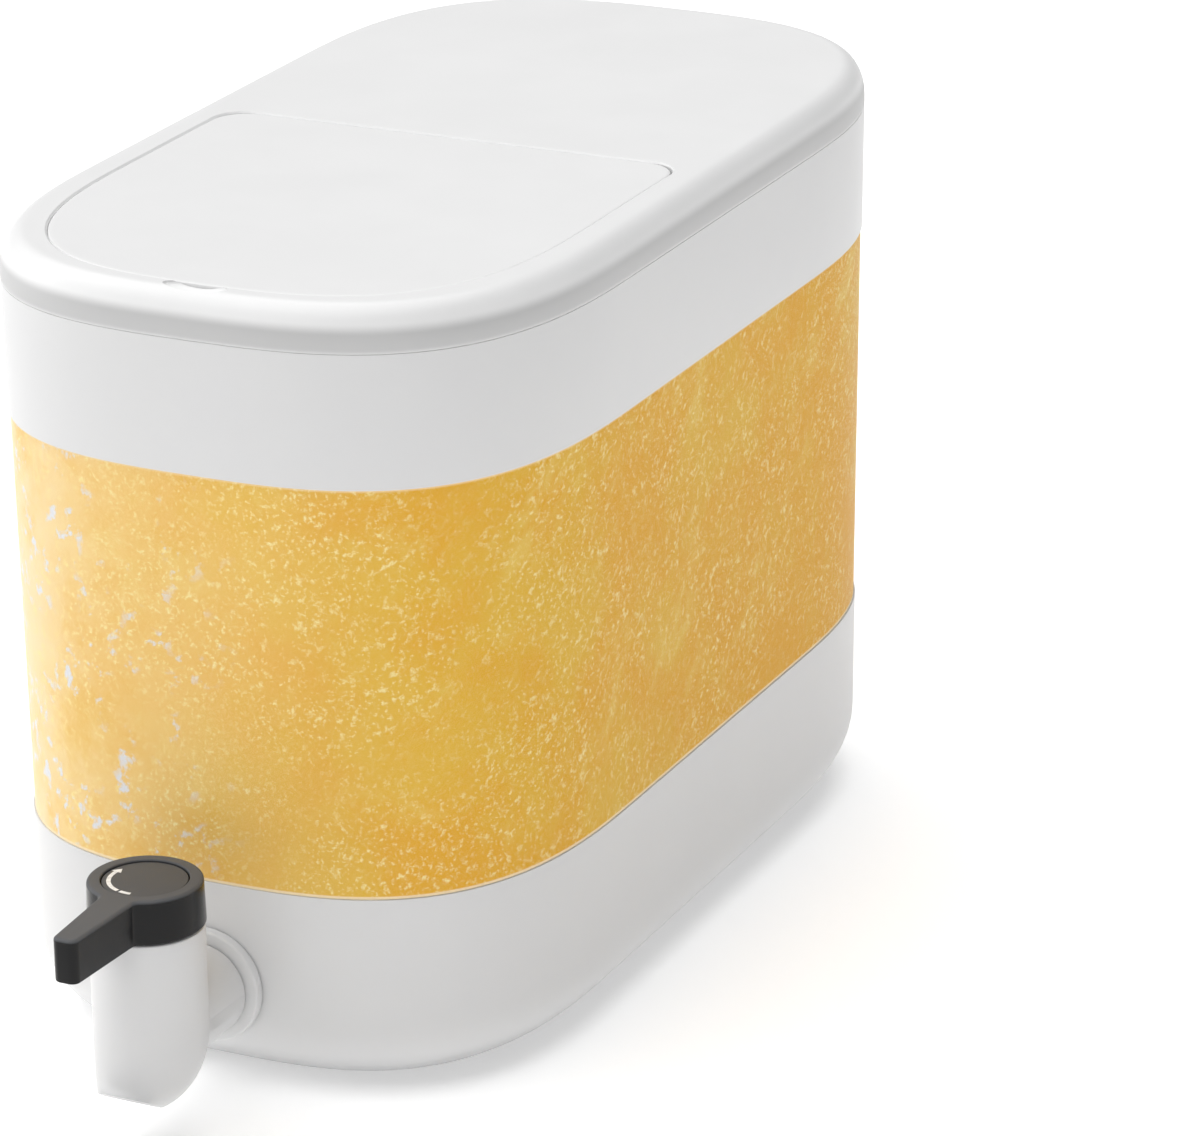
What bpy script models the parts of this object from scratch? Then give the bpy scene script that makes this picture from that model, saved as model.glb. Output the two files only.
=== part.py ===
"""Countertop drink dispenser: an oval tank with a clear window band, a lid with a hinged fill flap,
and a rotary tap. Units are metres. +Z is up, -Y is the tap end, and the origin is the centre of the base."""

import math

import bmesh
import bpy
from mathutils import Matrix

MM = 0.001
GAP = 0.3 * MM

# Body: an oval of straight sides and superelliptic ends, slightly narrower at the base
BODY_HALF_WIDTH = 67.5 * MM
STRAIGHT_HALF = 46.6 * MM
END_REACH = 78.6 * MM
END_ROUNDNESS = 2.884
BODY_DRAFT = 0.0117
BASE_FILLET = 18.3 * MM
WINDOW_LOW_Z = 47.7 * MM
WINDOW_HIGH_Z = 141.0 * MM
LID_SEAM_Z = 171.0 * MM
LID_TOP_Z = 180.9 * MM
RIM_Z = 175.2 * MM
HOLE_CUT_Y = (-140.0 * MM, -100.0 * MM)
SHELL_WALL = 1.6 * MM
TANK_STEP = SHELL_WALL + GAP
TANK_INNER = 3.6 * MM

# Lid: plate, skirt, plug ring and the well for the flap
LID_PLATE = 2.2 * MM
LID_EDGE_INSET = 5.1 * MM
LID_EDGE_START_Z = 173.0 * MM
PLUG_OUTER = 5.6 * MM
PLUG_INNER = 7.1 * MM
PLUG_LIP = 4.3 * MM
PLUG_BOTTOM_Z = 169.6 * MM
PLUG_LIP_Z = 171.0 * MM
GASKET_TOP_Z = 174.5 * MM
LID_UNDER_FILLET = ((3.4 * MM, 178.7 * MM), (2.2 * MM, 177.4 * MM), (SHELL_WALL, 175.6 * MM))
BURY = 0.3 * MM
PAST = 5.0 * MM

# Flap: its outline follows the front of the lid, and its rear edge lies across the middle
FLAP_HALF_WIDTH = 57.1 * MM
FLAP_REACH = 70.4 * MM
FLAP_CORNER = 8.0 * MM
LEAST_CORNER = 2.0 * MM
FLAP_TOP_Z = 180.7 * MM
FLAP_PLATE = 2.0 * MM
FLAP_BOTTOM_Z = FLAP_TOP_Z - FLAP_PLATE
FLAP_CHAMFER = 0.4 * MM
RIB_GROWTH = (-6.6 * MM, -8.0 * MM)
RIB_BOTTOM_Z = 176.5 * MM
RIB_BURY = 0.5 * MM
SEAL_GROWTH = (-4.5 * MM, -6.2 * MM)
SEAL_BOTTOM_Z = 175.2 * MM
WELL_GAP = 0.5 * MM
LEDGE_TOP_Z = FLAP_BOTTOM_Z - GAP
LEDGE_BOTTOM_Z = LEDGE_TOP_Z - 1.5 * MM
LEDGE_WIDTH = 4.0 * MM
OPENING_REAR_Y = -15.5 * MM
HINGE_Y = -9.0 * MM
HINGE_Z = 178.2 * MM
KNUCKLE_RADIUS = 2.3 * MM
KNUCKLE_LENGTH = 7.0 * MM
PIN_RADIUS = 1.0 * MM
PIN_LENGTH = 9.6 * MM
KNUCKLE_INSET = 0.1 * MM
PIN_HOLE_DEPTH = 8.0 * MM
TROUGH_FRONT_Y = -12.0 * MM
TROUGH_FLOOR_Z = 168.4 * MM
TROUGH_WALL = 1.5 * MM
TROUGH_HALF = BODY_HALF_WIDTH - PLUG_INNER + 0.5 * MM
POCKET_CLEAR = 0.05 * MM
POCKET_RISE = 0.2 * MM
FRAME_PIN_INSET = 5.0 * MM
FLAP_PIN_INSET = 6.0 * MM
PIN_INSET = 5.7 * MM
NOTCH_HALF_SIZE = (7.5 * MM, 2.6 * MM, 1.6 * MM)
NOTCH_Y = -119.0 * MM

# Tap: a vertical valve body on a horizontal shank through the front wall
TAP_Y = -149.5 * MM
TAP_RADIUS = 12.4 * MM
TAP_TOP_Z = 48.7 * MM
SHANK_Z = 24.0 * MM
SHANK_RADIUS = 7.0 * MM
SHANK_END_Y = -104.5 * MM
NECK_RADIUS = 10.5 * MM
NECK_START_Y = -147.0 * MM
NECK_BACK_Y = -126.55 * MM
INLET_RADIUS = 4.5 * MM
WASHER_RADIUS = 13.0 * MM
WASHER_SPAN_Y = (-126.25 * MM, -123.75 * MM)
INNER_WASHER_SPAN_Y = (-118.55 * MM, -116.55 * MM)
INNER_WASHER_RADIUS = 10.0 * MM
NUT_SPAN_Y = (-116.25 * MM, -109.25 * MM)
NUT_RADIUS = 11.5 * MM
SPOUT_HALF_WIDTH = 7.2 * MM
SPOUT_FRONT = (-165.5 * MM, 15.0 * MM)
SPOUT_REAR = (-153.5 * MM, 8.0 * MM)
OUTLET_SHARE = 0.8
VALVE_RADIUS = 8.0 * MM
VALVE_SEAT_Z = 15.5 * MM
CHANNEL_RADIUS = 5.0 * MM
CHANNEL_TOP_Z = (16.5 * MM, 15.3 * MM)
CHANNEL_RUN_OUT = (1.5 * MM, 2.6 * MM)
SPOUT_STEPS = 7

# Knob and valve plug, on the tap's vertical axis
PLUG_RADIUS = VALVE_RADIUS - GAP
PLUG_TOP_Z = 44.5 * MM
STEM_RADIUS = 4.0 * MM
STEM_TOP_Z = 54.4 * MM
PLUG_BORE_RADIUS = 4.2 * MM
PLUG_BORE_TOP_Z = 27.0 * MM
PORT_RADIUS = 3.6 * MM
PORT_HALF = 9.0 * MM
GROOVE_RADIUS = 6.0 * MM
GROOVE_HEIGHT = 2.0 * MM
RING_GROOVES_Z = {"valve_ring_upper": 38.5 * MM, "valve_ring_lower": 32.0 * MM}
KNOB_BOTTOM_Z = TAP_TOP_Z + GAP
KNOB_TOP_Z = 59.0 * MM
KNOB_TOP_RADIUS = 12.4 * MM
KNOB_BOTTOM_RADIUS = 12.7 * MM
CAP_RADIUS = 9.2 * MM
CAP_BOTTOM_Z = 58.1 * MM
CAP_TOP_Z = 58.8 * MM
SCREW_HEAD_RADIUS = 2.9 * MM
SCREW_HEAD_HEIGHT = 1.3 * MM
SCREW_RADIUS = 1.2 * MM
SCREW_BORE_RADIUS = 1.5 * MM
SCREW_SEAT_Z = 56.0 * MM
SCREW_END_Z = 47.5 * MM
SCREW_BORE_END_Z = 47.0 * MM
SLOT_HALF = (4.0 * MM, 0.4 * MM)
SLOT_FLOOR = 0.7 * MM
LEVER_TIP_Y = -184.0 * MM
LEVER_ROOT_HALF = 4.4 * MM
LEVER_TIP_HALF = 2.9 * MM
LEVER_ROOT_Y = TAP_Y - 8.0 * MM
LEVER_DROP = 0.1 * MM
LEVER_NOSE_STEPS = 8
EDGE_ROUND = 0.8 * MM

END_STEPS = 10
FILLET_STEPS = 5
ROUND_STEPS = 32
ROD_STEPS = 16
SMOOTH_ANGLE = math.radians(35)

FINISHES = {
    "clear_plastic": ((0.90, 0.92, 0.93), 0.08, 0.0),
    "white_plastic": ((0.83, 0.83, 0.84), 0.35, 0.0),
    "white_silicone": ((0.74, 0.75, 0.76), 0.60, 0.0),
    "black_plastic": ((0.035, 0.036, 0.04), 0.30, 0.0),
    "steel": ((0.62, 0.62, 0.63), 0.28, 1.0),
}


def clear_scene():
    for old in list(bpy.data.objects):
        bpy.data.objects.remove(old, do_unlink=True)


def new_collection(name):
    collection = bpy.data.collections.new(name)
    bpy.context.scene.collection.children.link(collection)
    return collection


clear_scene()
PARTS = new_collection("drink_dispenser")
CUTTERS = new_collection("cutters")


def dress(obj, finish):
    """Gives the object a Principled material of its own, in one of the finishes."""
    color, roughness, metallic = FINISHES[finish]
    material = bpy.data.materials.new(f"{obj.name}_{finish}")
    material.use_nodes = True
    shader = material.node_tree.nodes["Principled BSDF"]
    shader.inputs["Base Color"].default_value = (*color, 1.0)
    shader.inputs["Roughness"].default_value = roughness
    shader.inputs["Metallic"].default_value = metallic
    obj.data.materials.append(material)


def place(name, mesh, finish=None):
    """Links a mesh as a part, or as a hidden cutter where it has no finish."""
    obj = bpy.data.objects.new(name, mesh)
    if finish:
        PARTS.objects.link(obj)
        mesh.shade_smooth()
        mesh.set_sharp_from_angle(angle=SMOOTH_ANGLE)
        dress(obj, finish)
    else:
        CUTTERS.objects.link(obj)
        obj.hide_render = True
        obj.display_type = "WIRE"
    return obj


def combine(target, tool, operation, solver="EXACT"):
    """Cuts or joins a tool with a live Boolean."""
    modifier = target.modifiers.new(f"{operation} {tool.name}", "BOOLEAN")
    modifier.operation = operation
    modifier.solver = solver
    modifier.object = tool


def loft(name, sections, finish=None, ring=False):
    """Extrudes an outline through each section in turn. A ring closes on itself, and any other is capped."""
    bm = bmesh.new()
    corners = [bm.verts.new(point) for point in sections[0]]
    edges = first = [bm.edges.new(pair) for pair in zip(corners, corners[1:] + corners[:1])]
    for section in sections[1:] + (sections[:1] if ring else []):
        made = bmesh.ops.extrude_edge_only(bm, edges=edges)["geom"]
        fresh = {item for item in made if isinstance(item, bmesh.types.BMVert)}
        corners = [
            next(edge.other_vert(corner) for edge in corner.link_edges if edge.other_vert(corner) in fresh)
            for corner in corners
        ]
        for corner, point in zip(corners, section):
            corner.co = point
        drawn = [item for item in made if isinstance(item, bmesh.types.BMEdge)]
        edges = [edge for edge in drawn if fresh.issuperset(edge.verts)]
    if ring:
        bmesh.ops.remove_doubles(bm, verts=bm.verts, dist=0.000001)
    else:
        bmesh.ops.edgeloop_fill(bm, edges=first)
        bmesh.ops.edgeloop_fill(bm, edges=edges)
    bmesh.ops.recalc_face_normals(bm, faces=bm.faces)
    mesh = bpy.data.meshes.new(name)
    bm.to_mesh(mesh)
    bm.free()
    return place(name, mesh, finish)


def turned(name, profile, finish=None, location=(0, 0, 0), level=False, closed=False, steps=ROUND_STEPS):
    """Turns (radius, height) points, given down the outer side. A level piece has its height along -Y."""
    mesh = bpy.data.meshes.new(name)
    count = len(profile)
    edges = [(i, i + 1) for i in range(count - 1)] + ([(count - 1, 0)] if closed else [])
    mesh.from_pydata([(radius, 0, height) for radius, height in profile], edges, [])
    obj = place(name, mesh, finish)
    screw = obj.modifiers.new("Turn", "SCREW")
    screw.steps = steps
    screw.render_steps = steps
    screw.use_merge_vertices = True
    screw.merge_threshold = 0.00001
    obj.location = location
    if level:
        obj.rotation_euler = (math.pi / 2, 0, 0)
    return obj


def ring_profile(inner, outer, low, high):
    """The closed section of a plain ring, in turning order."""
    return [(outer, high), (outer, low), (inner, low), (inner, high)]


def rod_profile(radius, low, high):
    """The section of a plain solid cylinder, in turning order."""
    return [(0, high), (radius, high), (radius, low), (0, low)]


def level_span(span_y):
    """Heights of a level turned piece that runs between two Y places."""
    return -span_y[1], -span_y[0]


# Outlines of the body and of the flap


def end_quarter(half_width, reach):
    """A quarter of the oval's end, from its widest point to its tip, from where the straight side ends."""
    power = 2 / END_ROUNDNESS
    angles = [step * math.pi / 2 / END_STEPS for step in range(END_STEPS)]
    quarter = [(half_width * math.cos(a) ** power, reach * math.sin(a) ** power) for a in angles]
    return quarter + [(0.0, reach)]


def oval(inset, z):
    """The body's outline at a height, drawn in by an inset."""
    drawn_in = inset + BODY_DRAFT * max(0.0, LID_SEAM_Z - z)
    quarter = end_quarter(BODY_HALF_WIDTH - drawn_in, END_REACH - drawn_in)
    quarter = [(x, y + STRAIGHT_HALF) for x, y in quarter]
    rear = quarter + [(-x, y) for x, y in reversed(quarter[:-1])]
    front = [(-x, -y) for x, y in rear]
    return [(x, y, z) for x, y in rear + front]


def flap_outline(grow, z, rear_y=0.0):
    """The flap's outline, grown by an amount, with its rear edge at rear_y plus that amount."""
    half, radius = FLAP_HALF_WIDTH + grow, max(FLAP_CORNER + grow, LEAST_CORNER)
    angles = [math.pi / 2 * (1 - step / FILLET_STEPS) for step in range(FILLET_STEPS + 1)]
    corner = [
        (half - radius + radius * math.cos(a), rear_y + grow - radius + radius * math.sin(a)) for a in angles
    ]
    side = [(x, -y - STRAIGHT_HALF) for x, y in end_quarter(half, FLAP_REACH + grow)]
    right = corner + side
    left = [(-x, y) for x, y in reversed(right[:-1])]
    return [(x, y, z) for x, y in right + left]


def body_sections(stations):
    return [oval(inset, z) for inset, z in stations]


def base_fillet(depth):
    """Stations round the bottom edge, from the flat base to the side, at a depth under the outer skin."""
    radius = BASE_FILLET - depth
    angles = [math.pi / 2 * step / FILLET_STEPS for step in range(FILLET_STEPS + 1)]
    return [(BASE_FILLET - radius * math.sin(a), BASE_FILLET - radius * math.cos(a)) for a in angles]


# Tank, collar and base


def front_hole(target):
    """Cuts the hole that the tap's shank passes through."""
    profile = rod_profile(SHANK_RADIUS + GAP, *level_span(HOLE_CUT_Y))
    hole = turned(f"{target.name}_tap_hole", profile, location=(0, 0, SHANK_Z), level=True)
    combine(target, hole, "DIFFERENCE")


def build_tank():
    outside = base_fillet(TANK_STEP) + [
        (TANK_STEP, WINDOW_LOW_Z),
        (0, WINDOW_LOW_Z),
        (0, WINDOW_HIGH_Z),
        (TANK_STEP, WINDOW_HIGH_Z),
        (TANK_STEP, RIM_Z),
    ]
    inside = [(TANK_INNER, RIM_Z), *reversed(base_fillet(TANK_INNER))]
    tank = loft("tank", body_sections(outside + inside), "clear_plastic")
    front_hole(tank)


def build_collar():
    low, high = WINDOW_HIGH_Z + GAP, LID_SEAM_Z - GAP
    stations = [(0, low), (0, high), (SHELL_WALL, high), (SHELL_WALL, low)]
    loft("upper_collar", body_sections(stations), "white_plastic", ring=True)


def build_base():
    top = WINDOW_LOW_Z - GAP
    stations = [*base_fillet(0), (0, top), (SHELL_WALL, top), *reversed(base_fillet(SHELL_WALL))]
    base = loft("base_shell", body_sections(stations), "white_plastic")
    front_hole(base)


# Lid and flap


def cross_rod(name, radius, x_span, finish=None):
    """A rod on the flap's hinge axis, between two X places."""
    rod = turned(name, rod_profile(radius, *x_span), finish, (0, HINGE_Y, HINGE_Z), steps=ROD_STEPS)
    rod.rotation_euler = (0, math.pi / 2, 0)
    return rod


def hinge_spans(margin, length):
    """The X spans of the two hinge ends, for something that starts a margin inside the flap's sides."""
    inner = FLAP_HALF_WIDTH - margin
    return {"left": (-inner - length, -inner), "right": (inner, inner + length)}


def block(name, low, high):
    """A box between two corners."""
    bm = bmesh.new()
    bmesh.ops.create_cube(bm, size=1)
    size = [b - a for a, b in zip(low, high)]
    middle = [(a + b) / 2 for a, b in zip(low, high)]
    bmesh.ops.scale(bm, vec=size, verts=bm.verts)
    bmesh.ops.translate(bm, vec=middle, verts=bm.verts)
    mesh = bpy.data.meshes.new(name)
    bm.to_mesh(mesh)
    bm.free()
    return place(name, mesh)


def lid_outside():
    rise = LID_TOP_Z - LID_EDGE_START_Z
    angles = [math.pi / 2 * step / FILLET_STEPS for step in range(FILLET_STEPS + 1)]
    edge = [(LID_EDGE_INSET * (1 - math.cos(a)), LID_EDGE_START_Z + rise * math.sin(a)) for a in angles]
    return [(0, LID_SEAM_Z), *edge]


def join_lid_rims(frame):
    """Adds the plug ring, the tray round the flap's well and the trough behind its hinge."""
    buried = LID_TOP_Z - LID_PLATE + BURY
    plug = [
        (PLUG_OUTER, buried),
        (PLUG_OUTER, PLUG_LIP_Z),
        (PLUG_LIP, PLUG_LIP_Z),
        (PLUG_LIP, PLUG_BOTTOM_Z),
        (PLUG_INNER, PLUG_BOTTOM_Z),
        (PLUG_INNER, buried),
    ]
    combine(frame, loft("lid_plug_ring", body_sections(plug), ring=True), "UNION")
    tray = [flap_outline(WELL_GAP + TROUGH_WALL, z) for z in (LEDGE_BOTTOM_Z, buried)]
    combine(frame, loft("flap_tray", tray), "UNION")
    low = (-TROUGH_HALF, TROUGH_FRONT_Y - TROUGH_WALL, TROUGH_FLOOR_Z - TROUGH_WALL)
    combine(frame, block("hinge_trough", low, (TROUGH_HALF, WELL_GAP + TROUGH_WALL, buried)), "UNION")


def cut_lid_openings(frame):
    """Cuts the flap's well, the fill opening, the trough's pocket and the pin holes."""
    above, below = LID_TOP_Z + PAST, PLUG_BOTTOM_Z - PAST
    well = [flap_outline(WELL_GAP, z) for z in (LEDGE_TOP_Z, above)]
    combine(frame, loft("flap_well", well), "DIFFERENCE")
    opening = [flap_outline(-LEDGE_WIDTH, z, OPENING_REAR_Y + LEDGE_WIDTH) for z in (below, above)]
    combine(frame, loft("fill_opening", opening), "DIFFERENCE")
    half = FLAP_HALF_WIDTH + WELL_GAP
    high = (half, WELL_GAP - POCKET_CLEAR, LEDGE_TOP_Z + POCKET_RISE)
    combine(frame, block("trough_pocket", (-half, TROUGH_FRONT_Y, TROUGH_FLOOR_Z), high), "DIFFERENCE")
    for side, span in hinge_spans(FRAME_PIN_INSET, PIN_LENGTH + GAP).items():
        combine(frame, cross_rod(f"frame_pin_hole_{side}", PIN_RADIUS + GAP, span), "DIFFERENCE")


def cut_finger_notch(frame):
    """Scoops out the place for a fingertip in front of the flap."""
    bm = bmesh.new()
    bmesh.ops.create_uvsphere(bm, u_segments=24, v_segments=12, radius=1)
    bmesh.ops.scale(bm, vec=NOTCH_HALF_SIZE, verts=bm.verts)
    bmesh.ops.translate(bm, vec=(0, NOTCH_Y, LID_TOP_Z), verts=bm.verts)
    mesh = bpy.data.meshes.new("finger_notch")
    bm.to_mesh(mesh)
    bm.free()
    combine(frame, place("finger_notch", mesh), "DIFFERENCE")


def build_lid_frame():
    stations = [*reversed(lid_outside()), (SHELL_WALL, LID_SEAM_Z), *reversed(LID_UNDER_FILLET)]
    frame = loft("lid_frame", body_sections(stations), "white_plastic")
    join_lid_rims(frame)
    cut_lid_openings(frame)
    cut_finger_notch(frame)
    return frame


def build_gasket():
    inner, outer = PLUG_OUTER - GAP, TANK_INNER + GAP
    low = PLUG_LIP_Z + GAP
    stations = [(outer, low), (outer, GASKET_TOP_Z), (inner, GASKET_TOP_Z), (inner, low)]
    return loft("lid_gasket", body_sections(stations), "white_silicone", ring=True)


def build_flap():
    plate = [
        flap_outline(0, FLAP_BOTTOM_Z),
        flap_outline(0, FLAP_TOP_Z - FLAP_CHAMFER),
        flap_outline(-FLAP_CHAMFER, FLAP_TOP_Z),
    ]
    flap = loft("flap", plate, "white_plastic")
    combine(flap, flap_ring("seal_rib", RIB_GROWTH, RIB_BOTTOM_Z, FLAP_BOTTOM_Z + RIB_BURY), "UNION")
    for side, span in hinge_spans(KNUCKLE_LENGTH + KNUCKLE_INSET, KNUCKLE_LENGTH).items():
        combine(flap, cross_rod(f"flap_knuckle_{side}", KNUCKLE_RADIUS, span), "UNION")
    for side, span in hinge_spans(FLAP_PIN_INSET, PIN_HOLE_DEPTH).items():
        combine(flap, cross_rod(f"flap_pin_hole_{side}", PIN_RADIUS + GAP, span), "DIFFERENCE", "MANIFOLD")
    return flap


def flap_ring(name, growth, low, high, finish=None):
    """A ring under the flap that follows the fill opening, between two growths of its outline."""
    outer, inner = growth
    section = [(outer, low), (outer, high), (inner, high), (inner, low)]
    sections = [flap_outline(grow, z, OPENING_REAR_Y + LEDGE_WIDTH) for grow, z in section]
    return loft(name, sections, finish, ring=True)


def build_flap_seal():
    return flap_ring("flap_seal", SEAL_GROWTH, SEAL_BOTTOM_Z, FLAP_BOTTOM_Z - GAP, "white_silicone")


def build_hinge_pins():
    spans = hinge_spans(PIN_INSET, PIN_LENGTH - GAP)
    return [cross_rod(f"hinge_pin_{side}", PIN_RADIUS, span, "steel") for side, span in spans.items()]


# Tap


def circle(radius, z):
    """A level circle on the tap's axis."""
    angles = [2 * math.pi * step / ROUND_STEPS for step in range(ROUND_STEPS)]
    return [(radius * math.cos(a), TAP_Y + radius * math.sin(a), z) for a in angles]


def spout_section(angle, share=1.0):
    """An oval of the spout: level at angle 0, and tilted forward to the outlet at a quarter turn."""
    top_z = SHANK_Z
    rear_y = SPOUT_REAR[0] + (TAP_Y + TAP_RADIUS - SPOUT_REAR[0]) * math.cos(angle)
    rear_z = top_z - (top_z - SPOUT_REAR[1]) * math.sin(angle)
    front_y = TAP_Y - TAP_RADIUS + (SPOUT_FRONT[0] - TAP_Y + TAP_RADIUS) * (1 - math.cos(angle))
    front_z = top_z - (top_z - SPOUT_FRONT[1]) * math.sin(angle)
    half_width = SPOUT_HALF_WIDTH + (TAP_RADIUS - SPOUT_HALF_WIDTH) * math.cos(angle)
    middle = ((rear_y + front_y) / 2, (rear_z + front_z) / 2)
    arm = ((rear_y - front_y) / 2 * share, (rear_z - front_z) / 2 * share)
    turns = [2 * math.pi * step / ROUND_STEPS for step in range(ROUND_STEPS)]
    return [
        (half_width * share * math.cos(t), middle[0] + arm[0] * math.sin(t), middle[1] + arm[1] * math.sin(t))
        for t in turns
    ]


def build_tap_body():
    spout = [spout_section(math.pi / 2 * step / SPOUT_STEPS) for step in range(SPOUT_STEPS + 1)]
    body = loft("tap_body", [circle(TAP_RADIUS, TAP_TOP_Z), *spout], "white_plastic")
    shank = [
        (0, -NECK_START_Y),
        (NECK_RADIUS, -NECK_START_Y),
        (NECK_RADIUS, -NECK_BACK_Y + EDGE_ROUND),
        (NECK_RADIUS - EDGE_ROUND, -NECK_BACK_Y),
        (SHANK_RADIUS, -NECK_BACK_Y),
        (SHANK_RADIUS, -SHANK_END_Y),
        (0, -SHANK_END_Y),
    ]
    combine(body, turned("tap_shank", shank, location=(0, 0, SHANK_Z), level=True), "UNION")
    bore = rod_profile(VALVE_RADIUS, VALVE_SEAT_Z, TAP_TOP_Z + MM)
    combine(body, turned("valve_bore", bore, location=(0, TAP_Y, 0)), "DIFFERENCE")
    inlet = rod_profile(INLET_RADIUS, *level_span((NECK_START_Y, HOLE_CUT_Y[1])))
    combine(body, turned("inlet_bore", inlet, location=(0, 0, SHANK_Z), level=True), "DIFFERENCE")
    mouth = spout_section(math.pi / 2, OUTLET_SHARE)
    past = [(x, y - CHANNEL_RUN_OUT[0], z - CHANNEL_RUN_OUT[1]) for x, y, z in mouth]
    channel = [*[circle(CHANNEL_RADIUS, z) for z in CHANNEL_TOP_Z], past]
    combine(body, loft("outlet_channel", channel), "DIFFERENCE", "MANIFOLD")


def build_tap_fixings():
    bore = SHANK_RADIUS + GAP
    at_shank = {"location": (0, 0, SHANK_Z), "level": True, "closed": True}
    outer = ring_profile(bore, WASHER_RADIUS, *level_span(WASHER_SPAN_Y))
    turned("outer_washer", outer, "white_silicone", **at_shank)
    inner = ring_profile(bore, INNER_WASHER_RADIUS, *level_span(INNER_WASHER_SPAN_Y))
    turned("inner_washer", inner, "white_silicone", **at_shank)
    low, high = level_span(NUT_SPAN_Y)
    mesh = bpy.data.meshes.new("lock_nut")
    bm = bmesh.new()
    size = {"radius1": NUT_RADIUS, "radius2": NUT_RADIUS, "depth": high - low}
    bmesh.ops.create_cone(bm, cap_ends=True, segments=6, **size)
    bmesh.ops.translate(bm, vec=(0, 0, (low + high) / 2), verts=bm.verts)
    bm.to_mesh(mesh)
    bm.free()
    nut = place("lock_nut", mesh, "white_plastic")
    nut.location = (0, 0, SHANK_Z)
    nut.rotation_euler = (math.pi / 2, 0, 0)
    thread = rod_profile(bore, low - MM, high + MM)
    combine(nut, turned("nut_bore", thread, location=(0, 0, SHANK_Z), level=True), "DIFFERENCE")
    bonnet = ring_profile(STEM_RADIUS + GAP, PLUG_RADIUS, PLUG_TOP_Z + GAP, TAP_TOP_Z - GAP)
    turned("bonnet_nut", bonnet, "white_plastic", location=(0, TAP_Y, 0), closed=True)


# Knob and valve plug


def on_spindle(name, profile, finish=None, **options):
    return turned(name, profile, finish, location=(0, TAP_Y, 0), **options)


def build_valve():
    stem = [(0, STEM_TOP_Z), (STEM_RADIUS, STEM_TOP_Z), (STEM_RADIUS, PLUG_TOP_Z)]
    profile = [*stem, (PLUG_RADIUS, PLUG_TOP_Z)]
    for groove_z in sorted(RING_GROOVES_Z.values(), reverse=True):
        groove_low = groove_z - GROOVE_HEIGHT
        profile += [(PLUG_RADIUS, groove_z), (GROOVE_RADIUS, groove_z)]
        profile += [(GROOVE_RADIUS, groove_low), (PLUG_RADIUS, groove_low)]
    foot = VALVE_SEAT_Z + GAP
    profile += [(PLUG_RADIUS, foot), (PLUG_BORE_RADIUS, foot), (PLUG_BORE_RADIUS, PLUG_BORE_TOP_Z)]
    profile.append((0, PLUG_BORE_TOP_Z))
    valve = on_spindle("valve_plug", profile, "white_plastic")
    port = on_spindle("valve_port", rod_profile(PORT_RADIUS, -PORT_HALF, PORT_HALF))
    port.location.z = SHANK_Z
    port.rotation_euler = (0, math.pi / 2, 0)
    combine(valve, port, "DIFFERENCE")
    bore = rod_profile(SCREW_BORE_RADIUS, SCREW_BORE_END_Z, STEM_TOP_Z + MM)
    screw_bore = on_spindle("screw_bore", bore, steps=ROD_STEPS)
    combine(valve, screw_bore, "DIFFERENCE")
    rings = [
        on_spindle(name, ring_profile(GROOVE_RADIUS + GAP, PLUG_RADIUS, z - GROOVE_HEIGHT + GAP, z - GAP),
                   "white_silicone", closed=True)
        for name, z in RING_GROOVES_Z.items()
    ]
    return [valve, *rings]


def lever_section(z, inset):
    """The lever's outline from above, from inside the hub to the round tip."""
    root, tip = LEVER_ROOT_HALF - inset, LEVER_TIP_HALF - inset
    tip_centre = LEVER_TIP_Y + LEVER_TIP_HALF
    angles = [-math.pi * step / LEVER_NOSE_STEPS for step in range(LEVER_NOSE_STEPS + 1)]
    nose = [(tip * math.cos(a), tip_centre + tip * math.sin(a), z) for a in angles]
    return [(root, LEVER_ROOT_Y, z), *nose, (-root, LEVER_ROOT_Y, z)]


def build_grip():
    hub = [
        (0, KNOB_TOP_Z),
        (KNOB_TOP_RADIUS - EDGE_ROUND, KNOB_TOP_Z),
        (KNOB_TOP_RADIUS, KNOB_TOP_Z - EDGE_ROUND),
        (KNOB_BOTTOM_RADIUS, KNOB_BOTTOM_Z + EDGE_ROUND / 2),
        (KNOB_BOTTOM_RADIUS - EDGE_ROUND / 2, KNOB_BOTTOM_Z),
        (0, KNOB_BOTTOM_Z),
    ]
    knob = on_spindle("knob", hub, "black_plastic")
    low, high = KNOB_BOTTOM_Z + LEVER_DROP, KNOB_TOP_Z - LEVER_DROP
    lever = [
        lever_section(low, EDGE_ROUND / 2),
        lever_section(low + EDGE_ROUND / 2, 0),
        lever_section(high - EDGE_ROUND, 0),
        lever_section(high, EDGE_ROUND),
    ]
    combine(knob, loft("lever", lever), "UNION")
    recess, pocket, bore = CAP_RADIUS + GAP, SCREW_HEAD_RADIUS + GAP, STEM_RADIUS + GAP
    inside = [
        (0, KNOB_TOP_Z + MM),
        (recess, KNOB_TOP_Z + MM),
        (recess, CAP_BOTTOM_Z - GAP),
        (pocket, CAP_BOTTOM_Z - GAP),
        (pocket, SCREW_SEAT_Z),
        (SCREW_BORE_RADIUS, SCREW_SEAT_Z),
        (SCREW_BORE_RADIUS, STEM_TOP_Z + GAP),
        (bore, STEM_TOP_Z + GAP),
        (bore, KNOB_BOTTOM_Z - MM),
        (0, KNOB_BOTTOM_Z - MM),
    ]
    combine(knob, on_spindle("knob_hollow", inside), "DIFFERENCE")
    return knob


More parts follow.
